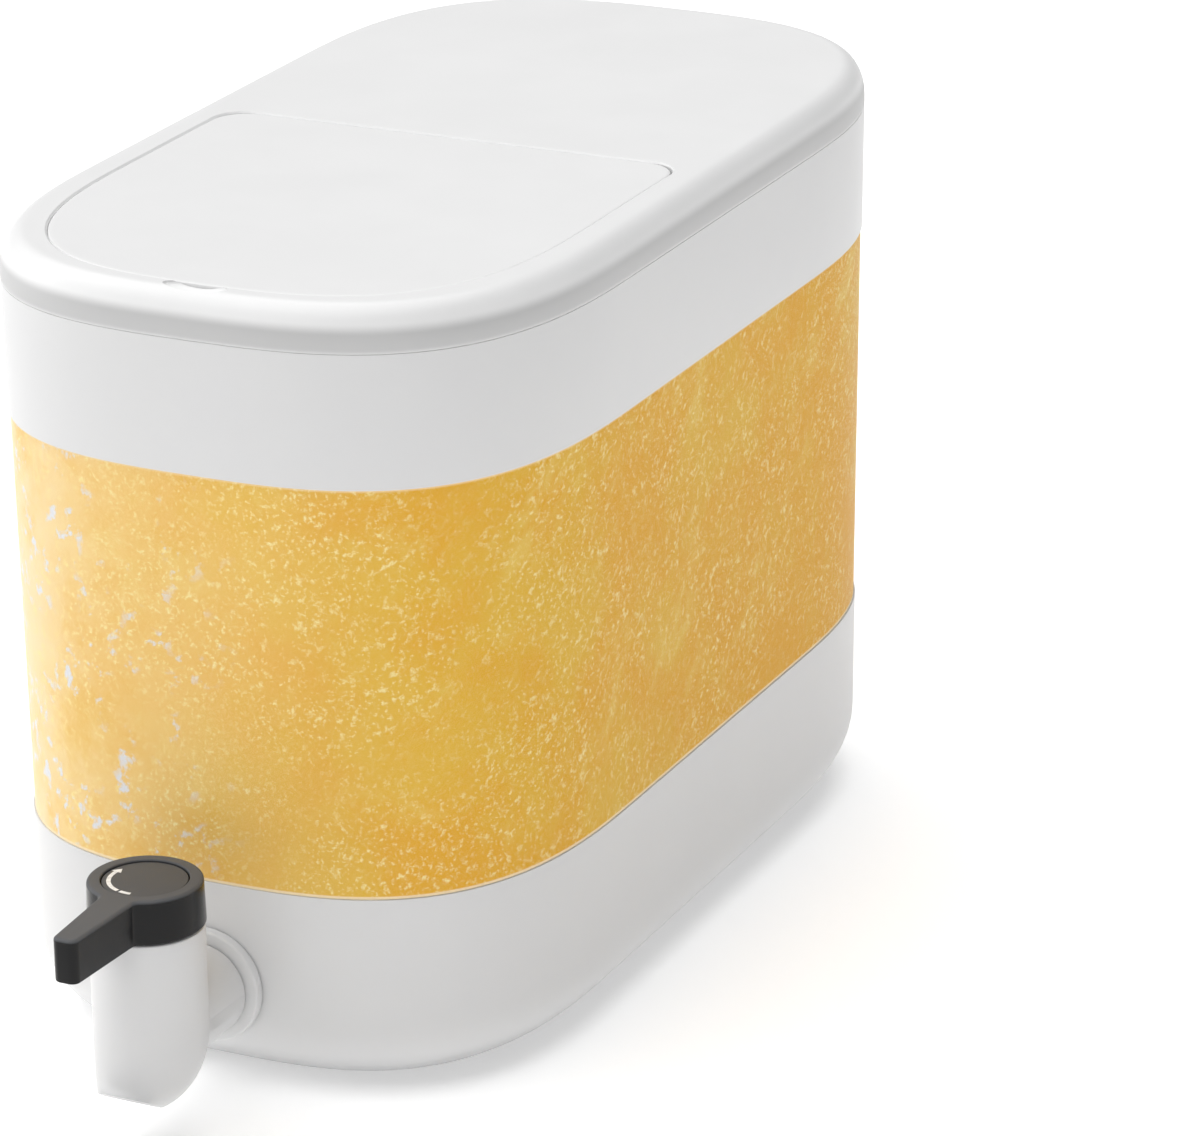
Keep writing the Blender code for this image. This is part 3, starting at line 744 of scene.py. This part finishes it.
@dataclass
class TankBody:
    """The clear tank with its drink, and the white collar and base that wrap it."""

    palette: Palette
    oval: BodyOval = field(default_factory=BodyOval)
    seam: float = 0.05 * MM
    shell: float = 1.6 * MM
    step_in: float = 1.9 * MM
    inner: float = 3.6 * MM
    rim_z: float = 175.2 * MM
    edge: float = 0.12 * MM
    side_line: float = 5.0 * MM
    window_skin: float = 0.35 * MM
    window_clear: float = 0.03 * MM
    drink_inset: float = 3.75 * MM
    drink_level: float = 152.0 * MM
    meniscus_width: float = 1.2 * MM
    meniscus_rise: float = 0.5 * MM
    hole_radius: float = 7.3 * MM
    hole_depth: float = 40.0 * MM

    def build(self) -> None:
        """Makes and dresses every piece."""
        tank = shaped(self.wall(), removed=[self.front_hole("tank_hole")])
        fit(tank, self.palette.clear, Rider.TANK, ["tank"])
        base = shaped(self.base(), removed=[self.front_hole("base_hole")])
        fit(base, self.palette.body, Rider.TANK, ["base_shell"])
        fit(self.collar(), self.palette.body, Rider.TANK, ["upper_collar"])
        fit(self.drink(), self.palette.drink, Rider.TANK)

    def front_hole(self, name: str) -> Piece:
        """The hole that the tap's shank passes through."""
        hole = Moulding().rod(self.hole_radius, -BEHIND_WALL_Y, -BEHIND_WALL_Y + self.hole_depth)
        return hole.move(facing_front(SHANK_Z)).piece(name)

    def wall(self) -> Piece:
        """The tank, thicker at the window so that the window lies flush with the white shells."""
        window = rounded(
            (self.step_in, WINDOW_LOW - self.side_line), (self.step_in, WINDOW_LOW),
            (0, WINDOW_LOW, self.edge), (0, WINDOW_HIGH, self.edge), (self.step_in, WINDOW_HIGH),
            (self.step_in, self.rim_z, self.edge), (self.inner, self.rim_z, self.edge),
            (self.inner, self.rim_z - self.side_line),
        )
        profile = [*self.oval.foot(self.step_in), *window, *reversed(self.oval.foot(self.inner))]
        return lofted("tank_wall", self.oval.sections(profile))

    def collar(self) -> Piece:
        """The white band above the window."""
        low, high = WINDOW_HIGH + self.seam, self.oval.seam_z - self.seam
        profile = band(0, self.shell, low, high, self.edge)
        return lofted("collar", self.oval.sections(profile), ring=True)

    def base(self) -> Piece:
        """The white shell below the window."""
        top = WINDOW_LOW - self.seam
        rim = rounded(
            (0, top - self.side_line), (0, top, self.edge), (self.shell, top, self.edge),
            (self.shell, top - self.side_line),
        )
        profile = [*self.oval.foot(0), *rim, *reversed(self.oval.foot(self.shell))]
        return lofted("base", self.oval.sections(profile))

    def drink(self) -> Piece:
        """The drink. The thick window bends light so that its colour fills the window to the outer face."""
        far, near = self.drink_inset, self.window_skin
        low, high = WINDOW_LOW + self.window_clear, WINDOW_HIGH - self.window_clear
        level, rise = self.drink_level, self.meniscus_rise
        corners = rounded(
            (far, low - self.side_line), (far, low), (near, low), (near, high), (far, high), (far, level),
            (far + self.meniscus_width, level - rise, rise), (far + self.side_line, level - 0.6 * MM),
        )
        profile = [*self.oval.foot(far), *corners]
        return lofted("drink", self.oval.sections(profile))


@dataclass
class Lid:
    """The lid's frame with its seals and pins, and the hinged fill flap."""

    palette: Palette
    oval: BodyOval = field(default_factory=BodyOval)
    top_z: float = 180.9 * MM
    plate: float = 2.2 * MM
    shell: float = 1.6 * MM
    edge_inset: float = 5.1 * MM
    edge_start_z: float = 173.0 * MM
    edge_steps: int = 14
    shoulder: Point2 = (2.2 * MM, 177.4 * MM)
    under_inset: float = 3.4 * MM
    plug_edge: float = 0.3 * MM
    plug_outer: float = 5.6 * MM
    plug_inner: float = 7.1 * MM
    plug_lip: float = 4.3 * MM
    plug_bottom_z: float = 169.6 * MM
    plug_lip_z: float = 171.0 * MM
    gasket_top_z: float = 174.5 * MM
    flap_top_z: float = 180.7 * MM
    flap_plate: float = 2.0 * MM
    flap_edge: float = 0.5 * MM
    flap_seal_z: float = 175.2 * MM
    flap_seal_span: tuple[float, float] = (-4.5 * MM, -6.2 * MM)
    rib_span: tuple[float, float] = (-6.6 * MM, -8.0 * MM)
    rib_depth: float = 2.2 * MM
    seam_gap: float = 0.1 * MM
    seam_edge: float = 0.4 * MM
    rear_gap: float = 0.3 * MM
    well_corner: float = 7.0 * MM
    well_gap: float = 0.5 * MM
    ledge_top_z: float = 178.4 * MM
    ledge_bottom_z: float = 176.9 * MM
    ledge_width: float = 4.0 * MM
    opening_rear_y: float = -15.5 * MM
    hinge_y: float = -9.0 * MM
    hinge_z: float = 178.2 * MM
    knuckle_radius: float = 2.3 * MM
    knuckle_length: float = 7.0 * MM
    pin_radius: float = 1.3 * MM
    trough_front_y: float = -12.0 * MM
    trough_floor_z: float = 168.4 * MM
    trough_wall: float = 1.5 * MM
    notch_half_size: tuple[float, float, float] = (7.5 * MM, 2.6 * MM, 1.6 * MM)
    notch_y: float = -119.0 * MM

    def __post_init__(self) -> None:
        """Works out the flap's outline, and its well's, whose corners let the flap stand up."""
        self.flap_outline = FlapOutline(self.oval)
        self.well_outline = FlapOutline(self.oval, corner=self.well_corner)
        self.seal_rear_y = self.opening_rear_y + self.ledge_width

    def build(self) -> None:
        """Makes and dresses every piece."""
        fit(self.cover(), self.palette.lid, Rider.LID, ["lid_frame"])
        fit(self.gasket(), self.palette.silicone, Rider.LID, ["lid_gasket"])
        fit(self.flap(), self.palette.lid, Rider.FLAP, ["flap"])
        fit(self.flap_seal(), self.palette.silicone, Rider.FLAP, ["flap_seal"])
        carry(["hinge_pin_left", "hinge_pin_right"], self.palette.steel)

    def cross_rod(self, name: str, radius: float, start: float, end: float) -> Piece:
        """A rod along the flap's hinge axis, between two X places."""
        place = Matrix.Translation((0, self.hinge_y, self.hinge_z)) @ Matrix.Rotation(QUARTER, 4, "Y")
        return Moulding().rod(radius, start, end, steps=32).move(place).piece(name)

    def mirrored_rods(self, name: str, radius: float, start: float, end: float) -> list[Piece]:
        """The same rod on both sides."""
        spans = {"left": (-end, -start), "right": (start, end)}
        return [self.cross_rod(f"{name}_{side}", radius, *span) for side, span in spans.items()]

    def shell_profile(self) -> list[Point2]:
        """The lid's outside from its top down to the seam, then its inside back up."""
        reach, low = self.edge_inset, self.edge_start_z
        rise = self.top_z - low
        turns = arc(0, 0, 1, 0, QUARTER, self.edge_steps)
        edge = [(reach * (1 - across), low + rise * up) for across, up in turns]
        foot = rounded(
            (0, low), (0, self.oval.seam_z, 0.12 * MM), (self.shell, self.oval.seam_z, 0.3 * MM),
            (self.shell, low + 2.6 * MM),
        )
        under_z = self.top_z - self.plate
        inside = [self.shoulder, (self.under_inset, under_z), (self.under_inset + 0.4 * MM, under_z)]
        flat = [(self.edge_inset + 0.8 * MM, self.top_z)]
        return [*flat, *reversed(edge[1:]), *foot, *inside]

    def plug_profile(self) -> list[Point2]:
        """The ring under the lid that goes into the tank and holds the gasket."""
        buried, edge = self.top_z - self.plate + OVERLAP, self.plug_edge
        corners = [
            (self.plug_outer, buried), (self.plug_outer, self.plug_lip_z),
            (self.plug_lip, self.plug_lip_z, edge), (self.plug_lip, self.plug_bottom_z, edge),
            (self.plug_inner, self.plug_bottom_z, edge), (self.plug_inner, buried),
        ]
        return rounded(*corners, closed=True)

    def cover(self) -> Piece:
        """The lid's frame: plate, skirt, plug ring, flap well, hinge trough and finger notch."""
        cover = lofted("lid_cover", self.oval.sections(self.shell_profile()))
        plug = lofted("plug_ring", self.oval.sections(self.plug_profile()), ring=True)
        return shaped(cover, [plug, *self.flap_seat()], self.flap_clearance())

    def flap_seat(self) -> list[Piece]:
        """The tray round the well and the trough for the flap's rear edge."""
        wall = self.well_gap + self.trough_wall
        buried = self.top_z - self.plate + OVERLAP
        tray = self.flap_outline.sections([(wall, self.ledge_bottom_z), (wall, buried)])
        half = self.oval.half_width - self.plug_inner + 0.5 * MM
        low = (-half, self.trough_front_y - self.trough_wall, self.trough_floor_z - self.trough_wall)
        return [
            lofted("flap_tray", tray),
            Moulding().block(low, (half, wall, buried)).piece("hinge_trough"),
        ]

    def flap_clearance(self) -> list[Piece]:
        """What is cut away for the flap, its hinge, the fill opening and a fingertip."""
        above, below = self.top_z + BEYOND, self.plug_bottom_z - BEYOND
        gap, wide = self.seam_gap, self.seam_gap + self.seam_edge
        edge_z = self.top_z - self.seam_edge
        well = [(gap, self.ledge_top_z), (gap, edge_z), (wide, self.top_z), (wide, above)]
        inset = -self.ledge_width
        opening = self.flap_outline.sections([(inset, below), (inset, above)], self.seal_rear_y)
        half = self.flap_outline.half_width + gap
        pocket_low = (-half, self.trough_front_y, self.trough_floor_z)
        pocket_high = (half, self.rear_gap - 0.02 * MM, self.ledge_top_z + 0.2 * MM)
        pin_start = self.flap_outline.half_width - 5 * MM
        pins = self.mirrored_rods("frame_pin_hole", self.pin_radius, pin_start, pin_start + 9.9 * MM)
        notch = Moulding().ball(self.notch_half_size, (0, self.notch_y, self.top_z))
        return [
            lofted("flap_well", self.well_outline.sections(well, self.rear_gap - gap)),
            lofted("fill_opening", opening),
            Moulding().block(pocket_low, pocket_high).piece("trough_pocket"),
            *pins,
            notch.piece("finger_notch"),
        ]

    def gasket(self) -> Piece:
        """The soft ring that seals the lid in the tank."""
        outer, inner, low = self.plug_lip - 0.4 * MM, self.plug_outer - 0.3 * MM, self.plug_lip_z + 0.3 * MM
        profile = band(outer, inner, low, self.gasket_top_z, 0.35 * MM)
        return lofted("lid_seal", self.oval.sections(profile), ring=True)

    def flap(self) -> Piece:
        """The flap: a flat plate with a soft edge, a rib for its seal and two hinge knuckles."""
        bottom = self.flap_top_z - self.flap_plate
        edge = rounded(
            (-1.5 * MM, bottom), (0, bottom, 0.2 * MM), (0, self.flap_top_z, self.flap_edge),
            (-1.5 * MM, self.flap_top_z),
        )
        flap = lofted("flap_door", self.flap_outline.sections(edge))
        (outer, inner), low, high = self.rib_span, bottom - self.rib_depth, bottom + 0.5 * MM
        rib = rounded(
            (outer, low, 0.3 * MM), (outer, high), (inner, high), (inner, low, 0.3 * MM), closed=True
        )
        ring = lofted("seal_rib", self.flap_outline.sections(rib, self.seal_rear_y), ring=True)
        half, length = self.flap_outline.half_width, self.knuckle_length
        start = half - length - 0.1 * MM
        knuckles = self.mirrored_rods("flap_knuckle", self.knuckle_radius, start, start + length)
        hole = half - 6 * MM
        holes = self.mirrored_rods("flap_pin_hole", self.pin_radius, hole, hole + 8 * MM)
        return shaped(flap, [ring, *knuckles], holes)

    def flap_seal(self) -> Piece:
        """The soft ring under the flap."""
        high = self.flap_top_z - self.flap_plate - 0.3 * MM
        profile = band(*self.flap_seal_span, self.flap_seal_z, high, 0.4 * MM)
        return lofted("flap_door_seal", self.flap_outline.sections(profile, self.seal_rear_y), ring=True)


@dataclass
class Tap:
    """The tap's moulding with its washers and nuts."""

    palette: Palette
    radius: float = 12.4 * MM
    top_z: float = 48.7 * MM
    shank_radius: float = 7.0 * MM
    shank_end_y: float = -104.5 * MM
    neck_radius: float = 10.5 * MM
    neck_back_y: float = -126.55 * MM
    inlet_radius: float = 4.5 * MM
    bore_front_y: float = -147.0 * MM
    washer_radius: float = 13.0 * MM
    washer_span: tuple[float, float] = (-126.25 * MM, -123.75 * MM)
    spout_half_width: float = 7.2 * MM
    spout_front: Point2 = (-165.5 * MM, 15.0 * MM)
    spout_rear: Point2 = (-153.5 * MM, 8.0 * MM)
    spout_lip: float = 0.5 * MM
    spout_steps: int = 20
    shoulder_z: float = 40.0 * MM
    outlet_share: float = 0.84
    seat_hole_radius: float = 5.0 * MM
    valve_radius: float = 8.0 * MM
    valve_seat_z: float = 15.5 * MM

    def build(self) -> None:
        """Makes and dresses every piece."""
        fit(self.moulding(), self.palette.tap, Rider.TANK, ["tap_body"])
        fit(self.washer(), self.palette.silicone, Rider.TANK, ["outer_washer"])
        carry(["lock_nut", "bonnet_nut"], self.palette.tap)
        carry(["inner_washer"], self.palette.silicone)

    def circle(self, radius: float, z: float) -> list[Vector]:
        """A level circle on the tap's axis."""
        return [Vector((x, y, z)) for x, y in arc(0, TAP_AXIS_Y, radius, 0, 2 * math.pi, ROUND_STEPS)[:-1]]

    def spout_section(self, angle: float, share: float = 1.0) -> list[Vector]:
        """An oval of the spout.

        Args:
            angle: 0 where it is level at the shank's height, a quarter turn at the tilted outlet.
            share: Its size as a share of the full one.

        Returns:
            The oval's points.
        """
        back_y, front_y = TAP_AXIS_Y + self.radius, TAP_AXIS_Y - self.radius
        level, fall = math.cos(angle), math.sin(angle)
        (rear_y, rear_z), (tip_y, tip_z) = self.spout_rear, self.spout_front
        rear = Vector((rear_y + (back_y - rear_y) * level, SHANK_Z - (SHANK_Z - rear_z) * fall))
        front = Vector((front_y + (tip_y - front_y) * (1 - level), SHANK_Z - (SHANK_Z - tip_z) * fall))
        half = (self.spout_half_width + (self.radius - self.spout_half_width) * level) * share
        middle, arm = (rear + front) / 2, (rear - front) / 2 * share
        turns = arc(0, 0, 1, 0, 2 * math.pi, ROUND_STEPS)[:-1]
        return [Vector((half * c, middle.x + arm.x * s, middle.y + arm.y * s)) for c, s in turns]

    def moulding(self) -> Piece:
        """The tap's body and spout in one, with its shank, valve bore and outlet."""
        shoulder = rounded(
            (self.valve_radius, self.top_z), (self.radius, self.top_z, 0.5 * MM),
            (self.radius, self.shoulder_z),
        )
        upper = [self.circle(radius, z) for radius, z in shoulder]
        spout = [self.spout_section(angle) for angle in spread(0, QUARTER, self.spout_steps)]
        lip = self.spout_lip
        outlet = self.spout_section(QUARTER, 1 - lip / self.spout_half_width)
        down = Vector((0, -0.5, -0.87)) * lip * 0.4
        rim = [point + down for point in outlet]
        body = lofted("tap_moulding", [*upper, *spout, rim])
        return shaped(body, [self.shank()], [self.valve_bore(), self.inlet(), self.outlet()])

    def shank(self) -> Piece:
        """The neck and the shank that passes through the wall."""
        edge = 0.8 * MM
        front, back, end = -self.bore_front_y, -self.neck_back_y, -self.shank_end_y
        profile = rounded(
            (0, front), (self.neck_radius, front), (self.neck_radius, back, edge),
            (self.shank_radius, back), (self.shank_radius, end, edge / 2), (0, end),
        )
        return Moulding().turn(profile).move(facing_front(SHANK_Z)).piece("tap_shank")

    def valve_bore(self) -> Piece:
        """The upright bore for the valve plug."""
        bore = Moulding().rod(self.valve_radius, self.top_z + BEYOND, self.valve_seat_z)
        return bore.move(on_tap_axis()).piece("valve_bore")

    def inlet(self) -> Piece:
        """The bore along the shank."""
        bore = Moulding().rod(self.inlet_radius, -BEHIND_WALL_Y, -self.bore_front_y)
        return bore.move(facing_front(SHANK_Z)).piece("inlet_bore")

    def outlet(self) -> Piece:
        """The channel from the valve seat out of the spout."""
        mouth = self.spout_section(QUARTER, self.outlet_share)
        past = [point + Vector((0, -1.5, -2.6)) * MM for point in mouth]
        heights = (self.valve_seat_z + 1 * MM, self.valve_seat_z - 0.2 * MM)
        top = [self.circle(self.seat_hole_radius, z) for z in heights]
        return lofted("outlet_channel", [*top, mouth, past])

    def washer(self) -> Piece:
        """The soft washer between the neck and the wall."""
        edge = 0.6 * MM
        low, high = -self.washer_span[1], -self.washer_span[0]
        bore = self.shank_radius + 0.3 * MM
        corners = [
            (self.washer_radius, high, edge), (self.washer_radius, low, edge / 2),
            (bore, low, edge / 2), (bore, high, edge / 2),
        ]
        profile = rounded(*corners, closed=True)
        return Moulding().turn(profile, closed=True).move(facing_front(SHANK_Z)).piece("tap_washer")


@dataclass
class Knob:
    """The black lever knob, its sunk disc with a turning arrow, and the valve that it drives."""

    palette: Palette
    bottom_z: float = 49.0 * MM
    top_z: float = 59.0 * MM
    top_radius: float = 12.4 * MM
    bottom_radius: float = 12.7 * MM
    tip_y: float = -184.0 * MM
    root_half: float = 4.4 * MM
    tip_half: float = 2.9 * MM
    tip_corner: float = 1.9 * MM
    least_corner: float = 0.3 * MM
    root_y: float = -8.0 * MM
    fillet: float = 2.0 * MM
    edge: float = 0.8 * MM
    disc_radius: float = 9.2 * MM
    recess_radius: float = 9.5 * MM
    recess_z: float = 57.8 * MM
    disc_bottom_z: float = 58.1 * MM
    disc_top_z: float = 58.6 * MM
    screw_radius: float = 3.2 * MM
    screw_z: float = 56.0 * MM
    thread_radius: float = 1.5 * MM
    stem_radius: float = 4.3 * MM
    stem_top_z: float = 54.7 * MM
    arrow_radius: float = 7.7 * MM
    arrow_width: float = 0.95 * MM
    arrow_angles: tuple[float, ...] = (158.0, 172.0, 251.0, 256.0, 276.0)

    def build(self) -> None:
        """Makes and dresses every piece."""
        fit(self.grip(), self.palette.black, Rider.KNOB, ["knob"])
        fit(self.disc(), self.palette.black, Rider.KNOB, ["knob_cap"])
        fit(self.arrow(), self.palette.ink, Rider.KNOB)
        carry(["knob_screw"], self.palette.steel)
        carry(["valve_plug"], self.palette.tap)
        carry(["valve_ring_upper", "valve_ring_lower"], self.palette.silicone)

    def outline(self, inset: float, z: float) -> list[Vector]:
        """The hub and lever from above as one line, with a small fillet where they meet.

        Args:
            inset: How far inside the outer skin.
            z: The height, which also sets the hub's slight taper.

        Returns:
            The points, from the lever's tip round to its other side.
        """
        rise = (z - self.bottom_z) / (self.top_z - self.bottom_z)
        hub = self.bottom_radius + (self.top_radius - self.bottom_radius) * rise - inset
        root = Vector((self.root_half - inset, self.root_y))
        tip = Vector((self.tip_half - inset, self.tip_y - TAP_AXIS_Y + self.tip_corner))
        along = (tip - root).normalized()
        out = Vector((-along.y, along.x))
        fillet = self.fillet + inset
        start = root + out * fillet
        reach = hub + fillet
        half = start.dot(along)
        centre = start + along * (-half + math.sqrt(half * half - start.length_squared + reach * reach))
        first, last = math.atan2(-centre.y, -centre.x), math.atan2(-out.y, -out.x)
        neck = arc(*centre, fillet, first, last, CORNER_STEPS)
        corner = max(self.tip_corner - inset, self.least_corner)
        nose_x, nose_y = self.tip_half - inset - corner, self.tip_y - TAP_AXIS_Y + inset + corner
        nose = arc(nose_x, nose_y, corner, 0, -QUARTER, CORNER_STEPS)
        rim = arc(0, 0, hub, QUARTER, math.atan2(neck[0][1], neck[0][0]), 5 * CORNER_STEPS)[:-1]
        right = rim + neck + nose
        left = [(-x, y) for x, y in reversed(right[1:])]
        return [Vector((x, y + TAP_AXIS_Y, z)) for x, y in right + left]

    def grip(self) -> Piece:
        """The hub and lever, with a recess for the disc and a hollow for the spindle."""
        profile = rounded(
            (1.5 * MM, self.bottom_z), (0, self.bottom_z, self.edge / 2), (0, self.top_z, self.edge),
            (1.3 * MM, self.top_z),
        )
        body = lofted("knob_grip", [self.outline(inset, z) for inset, z in profile])
        lip, above, below = 0.2 * MM, self.top_z + BEYOND, self.bottom_z - BEYOND
        hollow = rounded(
            (0, above), (self.recess_radius + lip, above), (self.recess_radius + lip, self.top_z),
            (self.recess_radius, self.top_z - lip), (self.recess_radius, self.recess_z),
            (self.screw_radius, self.recess_z), (self.screw_radius, self.screw_z),
            (self.thread_radius, self.screw_z), (self.thread_radius, self.stem_top_z),
            (self.stem_radius, self.stem_top_z), (self.stem_radius, below), (0, below),
        )
        tool = Moulding().turn(hollow).move(on_tap_axis()).piece("knob_hollow")
        return shaped(body, removed=[tool])

    def disc(self) -> Piece:
        """The glossy disc that covers the screw."""
        profile = rounded(
            (0, self.disc_top_z), (self.disc_radius, self.disc_top_z, 0.2 * MM),
            (self.disc_radius, self.disc_bottom_z), (0, self.disc_bottom_z),
        )
        return Moulding().turn(profile).move(on_tap_axis()).piece("knob_disc")

    def arrow(self) -> Piece:
        """The printed arc with an arrowhead at its upper end, and a dash beyond its other end."""
        turns = [math.radians(angle) for angle in self.arrow_angles]
        tip, root, end, dash_start, dash_end = turns
        half, wide = self.arrow_width / 2, self.arrow_width * 1.3
        bow = [(angle, half) for angle in spread(root, end, 3 * CORNER_STEPS)]
        dash = [(angle, half) for angle in spread(dash_start, dash_end, CORNER_STEPS)]
        marks = Moulding()
        for stations in ([(tip, 0.05 * MM), (root - 0.01, wide), *bow], dash):
            outer = [(self.arrow_radius + width, angle) for angle, width in stations]
            inner = [(self.arrow_radius - width, angle) for angle, width in reversed(stations)]
            line = [(r * math.cos(a), TAP_AXIS_Y + r * math.sin(a)) for r, a in outer + inner]
            low, high = self.disc_top_z - 0.01 * MM, self.disc_top_z + 0.03 * MM
            marks.loft([[Vector((x, y, z)) for x, y in line] for z in (low, high)])
        return marks.piece("knob_arrow")


# Studio


def hang(light: bpy.types.Light, place: Vector, aim: Vector) -> None:
    """Puts a light in the scene, aimed at a point."""
    lamp = bpy.data.objects.new(light.name, light)
    lamp.location = place
    lamp.rotation_euler = (aim - place).to_track_quat("-Z", "Y").to_euler()
    bpy.context.scene.collection.objects.link(lamp)


@dataclass(frozen=True)
class SoftBox:
    """A large soft light that faces the dispenser."""

    name: str
    place: tuple[float, float, float]
    size: tuple[float, float]
    power: float

    def light(self) -> bpy.types.Light:
        """Makes the light."""
        light = bpy.data.lights.new(self.name, "AREA")
        light.shape = "RECTANGLE"
        light.size, light.size_y = self.size
        light.energy = self.power
        return light


@dataclass(frozen=True)
class SoftCeiling:
    """A wide ceiling of light, equally strong everywhere."""

    name: str = "ceiling"
    place: tuple[float, float, float] = (-0.25, 0.0, 1.0)
    spread: float = 80.0
    power: float = 2.85

    def light(self) -> bpy.types.Light:
        """Makes the light."""
        light = bpy.data.lights.new(self.name, "SUN")
        light.angle = math.radians(self.spread)
        light.energy = self.power
        return light


@dataclass
class Studio:
    """The pale floor, the lights and the camera."""

    target: Vector = field(default_factory=lambda: Vector((24.96, 22.95, 72.79)) * MM)
    azimuth: float = 25.4386
    elevation: float = 20.7351
    roll: float = -0.6274
    distance: float = 1.31834
    lens: float = 169.05
    floor_size: float = 24.0
    ambient: float = 0.16
    aim_z: float = 90.0 * MM
    lights: tuple[SoftBox | SoftCeiling, ...] = (
        SoftCeiling(),
        SoftBox("left_window", (-1.7, -0.4, 0.5), (1.0, 1.0), 6.5),
        SoftBox("front_fill", (1.1, -1.7, 0.5), (1.0, 0.8), 3.0),
    )

    def build(self) -> None:
        """Sets up everything that isn't the dispenser."""
        self.floor()
        self.surroundings()
        for lamp in self.lights:
            hang(lamp.light(), Vector(lamp.place), Vector((0, 0, self.aim_z)))
        self.camera()
        bpy.context.scene.view_settings.view_transform = "Standard"

    def floor(self) -> None:
        """Lays a large sheet of pale paper."""
        bm = bmesh.new()
        bmesh.ops.create_grid(bm, x_segments=1, y_segments=1, size=self.floor_size / 2)
        mesh = bpy.data.meshes.new("floor")
        bm.to_mesh(mesh)
        bm.free()
        mesh.materials.append(StudioPaper().material())
        floor = bpy.data.objects.new("floor", mesh)
        bpy.context.scene.collection.objects.link(floor)

    def surroundings(self) -> None:
        """Lights the whole room softly."""
        world = bpy.data.worlds.new("room")
        world.use_nodes = True
        backdrop = world.node_tree.nodes["Background"]
        backdrop.inputs["Color"].default_value = (1.0, 1.0, 1.0, 1.0)
        backdrop.inputs["Strength"].default_value = self.ambient
        bpy.context.scene.world = world

    def camera(self) -> None:
        """Aims the camera at the target from its azimuth and elevation, with a slight roll."""
        turn, tilt, roll = (math.radians(a) for a in (self.azimuth, self.elevation, self.roll))
        back = Vector((math.sin(turn) * math.cos(tilt), -math.cos(turn) * math.cos(tilt), math.sin(tilt)))
        right = Vector((math.cos(turn), math.sin(turn), 0))
        up = back.cross(right)
        across = right * math.cos(roll) + up * math.sin(roll)
        upright = up * math.cos(roll) - right * math.sin(roll)
        lens = bpy.data.cameras.new("camera")
        lens.lens = self.lens
        camera = bpy.data.objects.new("camera", lens)
        turned = Matrix((across, upright, back)).transposed().to_4x4()
        camera.matrix_world = Matrix.Translation(self.target + back * self.distance) @ turned
        bpy.context.scene.collection.objects.link(camera)
        bpy.context.scene.camera = camera


def main() -> None:
    """Builds the dispenser and its studio."""
    logging.basicConfig(level=logging.INFO, format="%(name)s %(message)s")
    palette = Palette()
    Studio().build()
    for assembly in (TankBody(palette), Lid(palette), Tap(palette), Knob(palette)):
        assembly.build()
        LOG.info("%s is done", type(assembly).__name__)


if __name__ == "__main__":
    main()
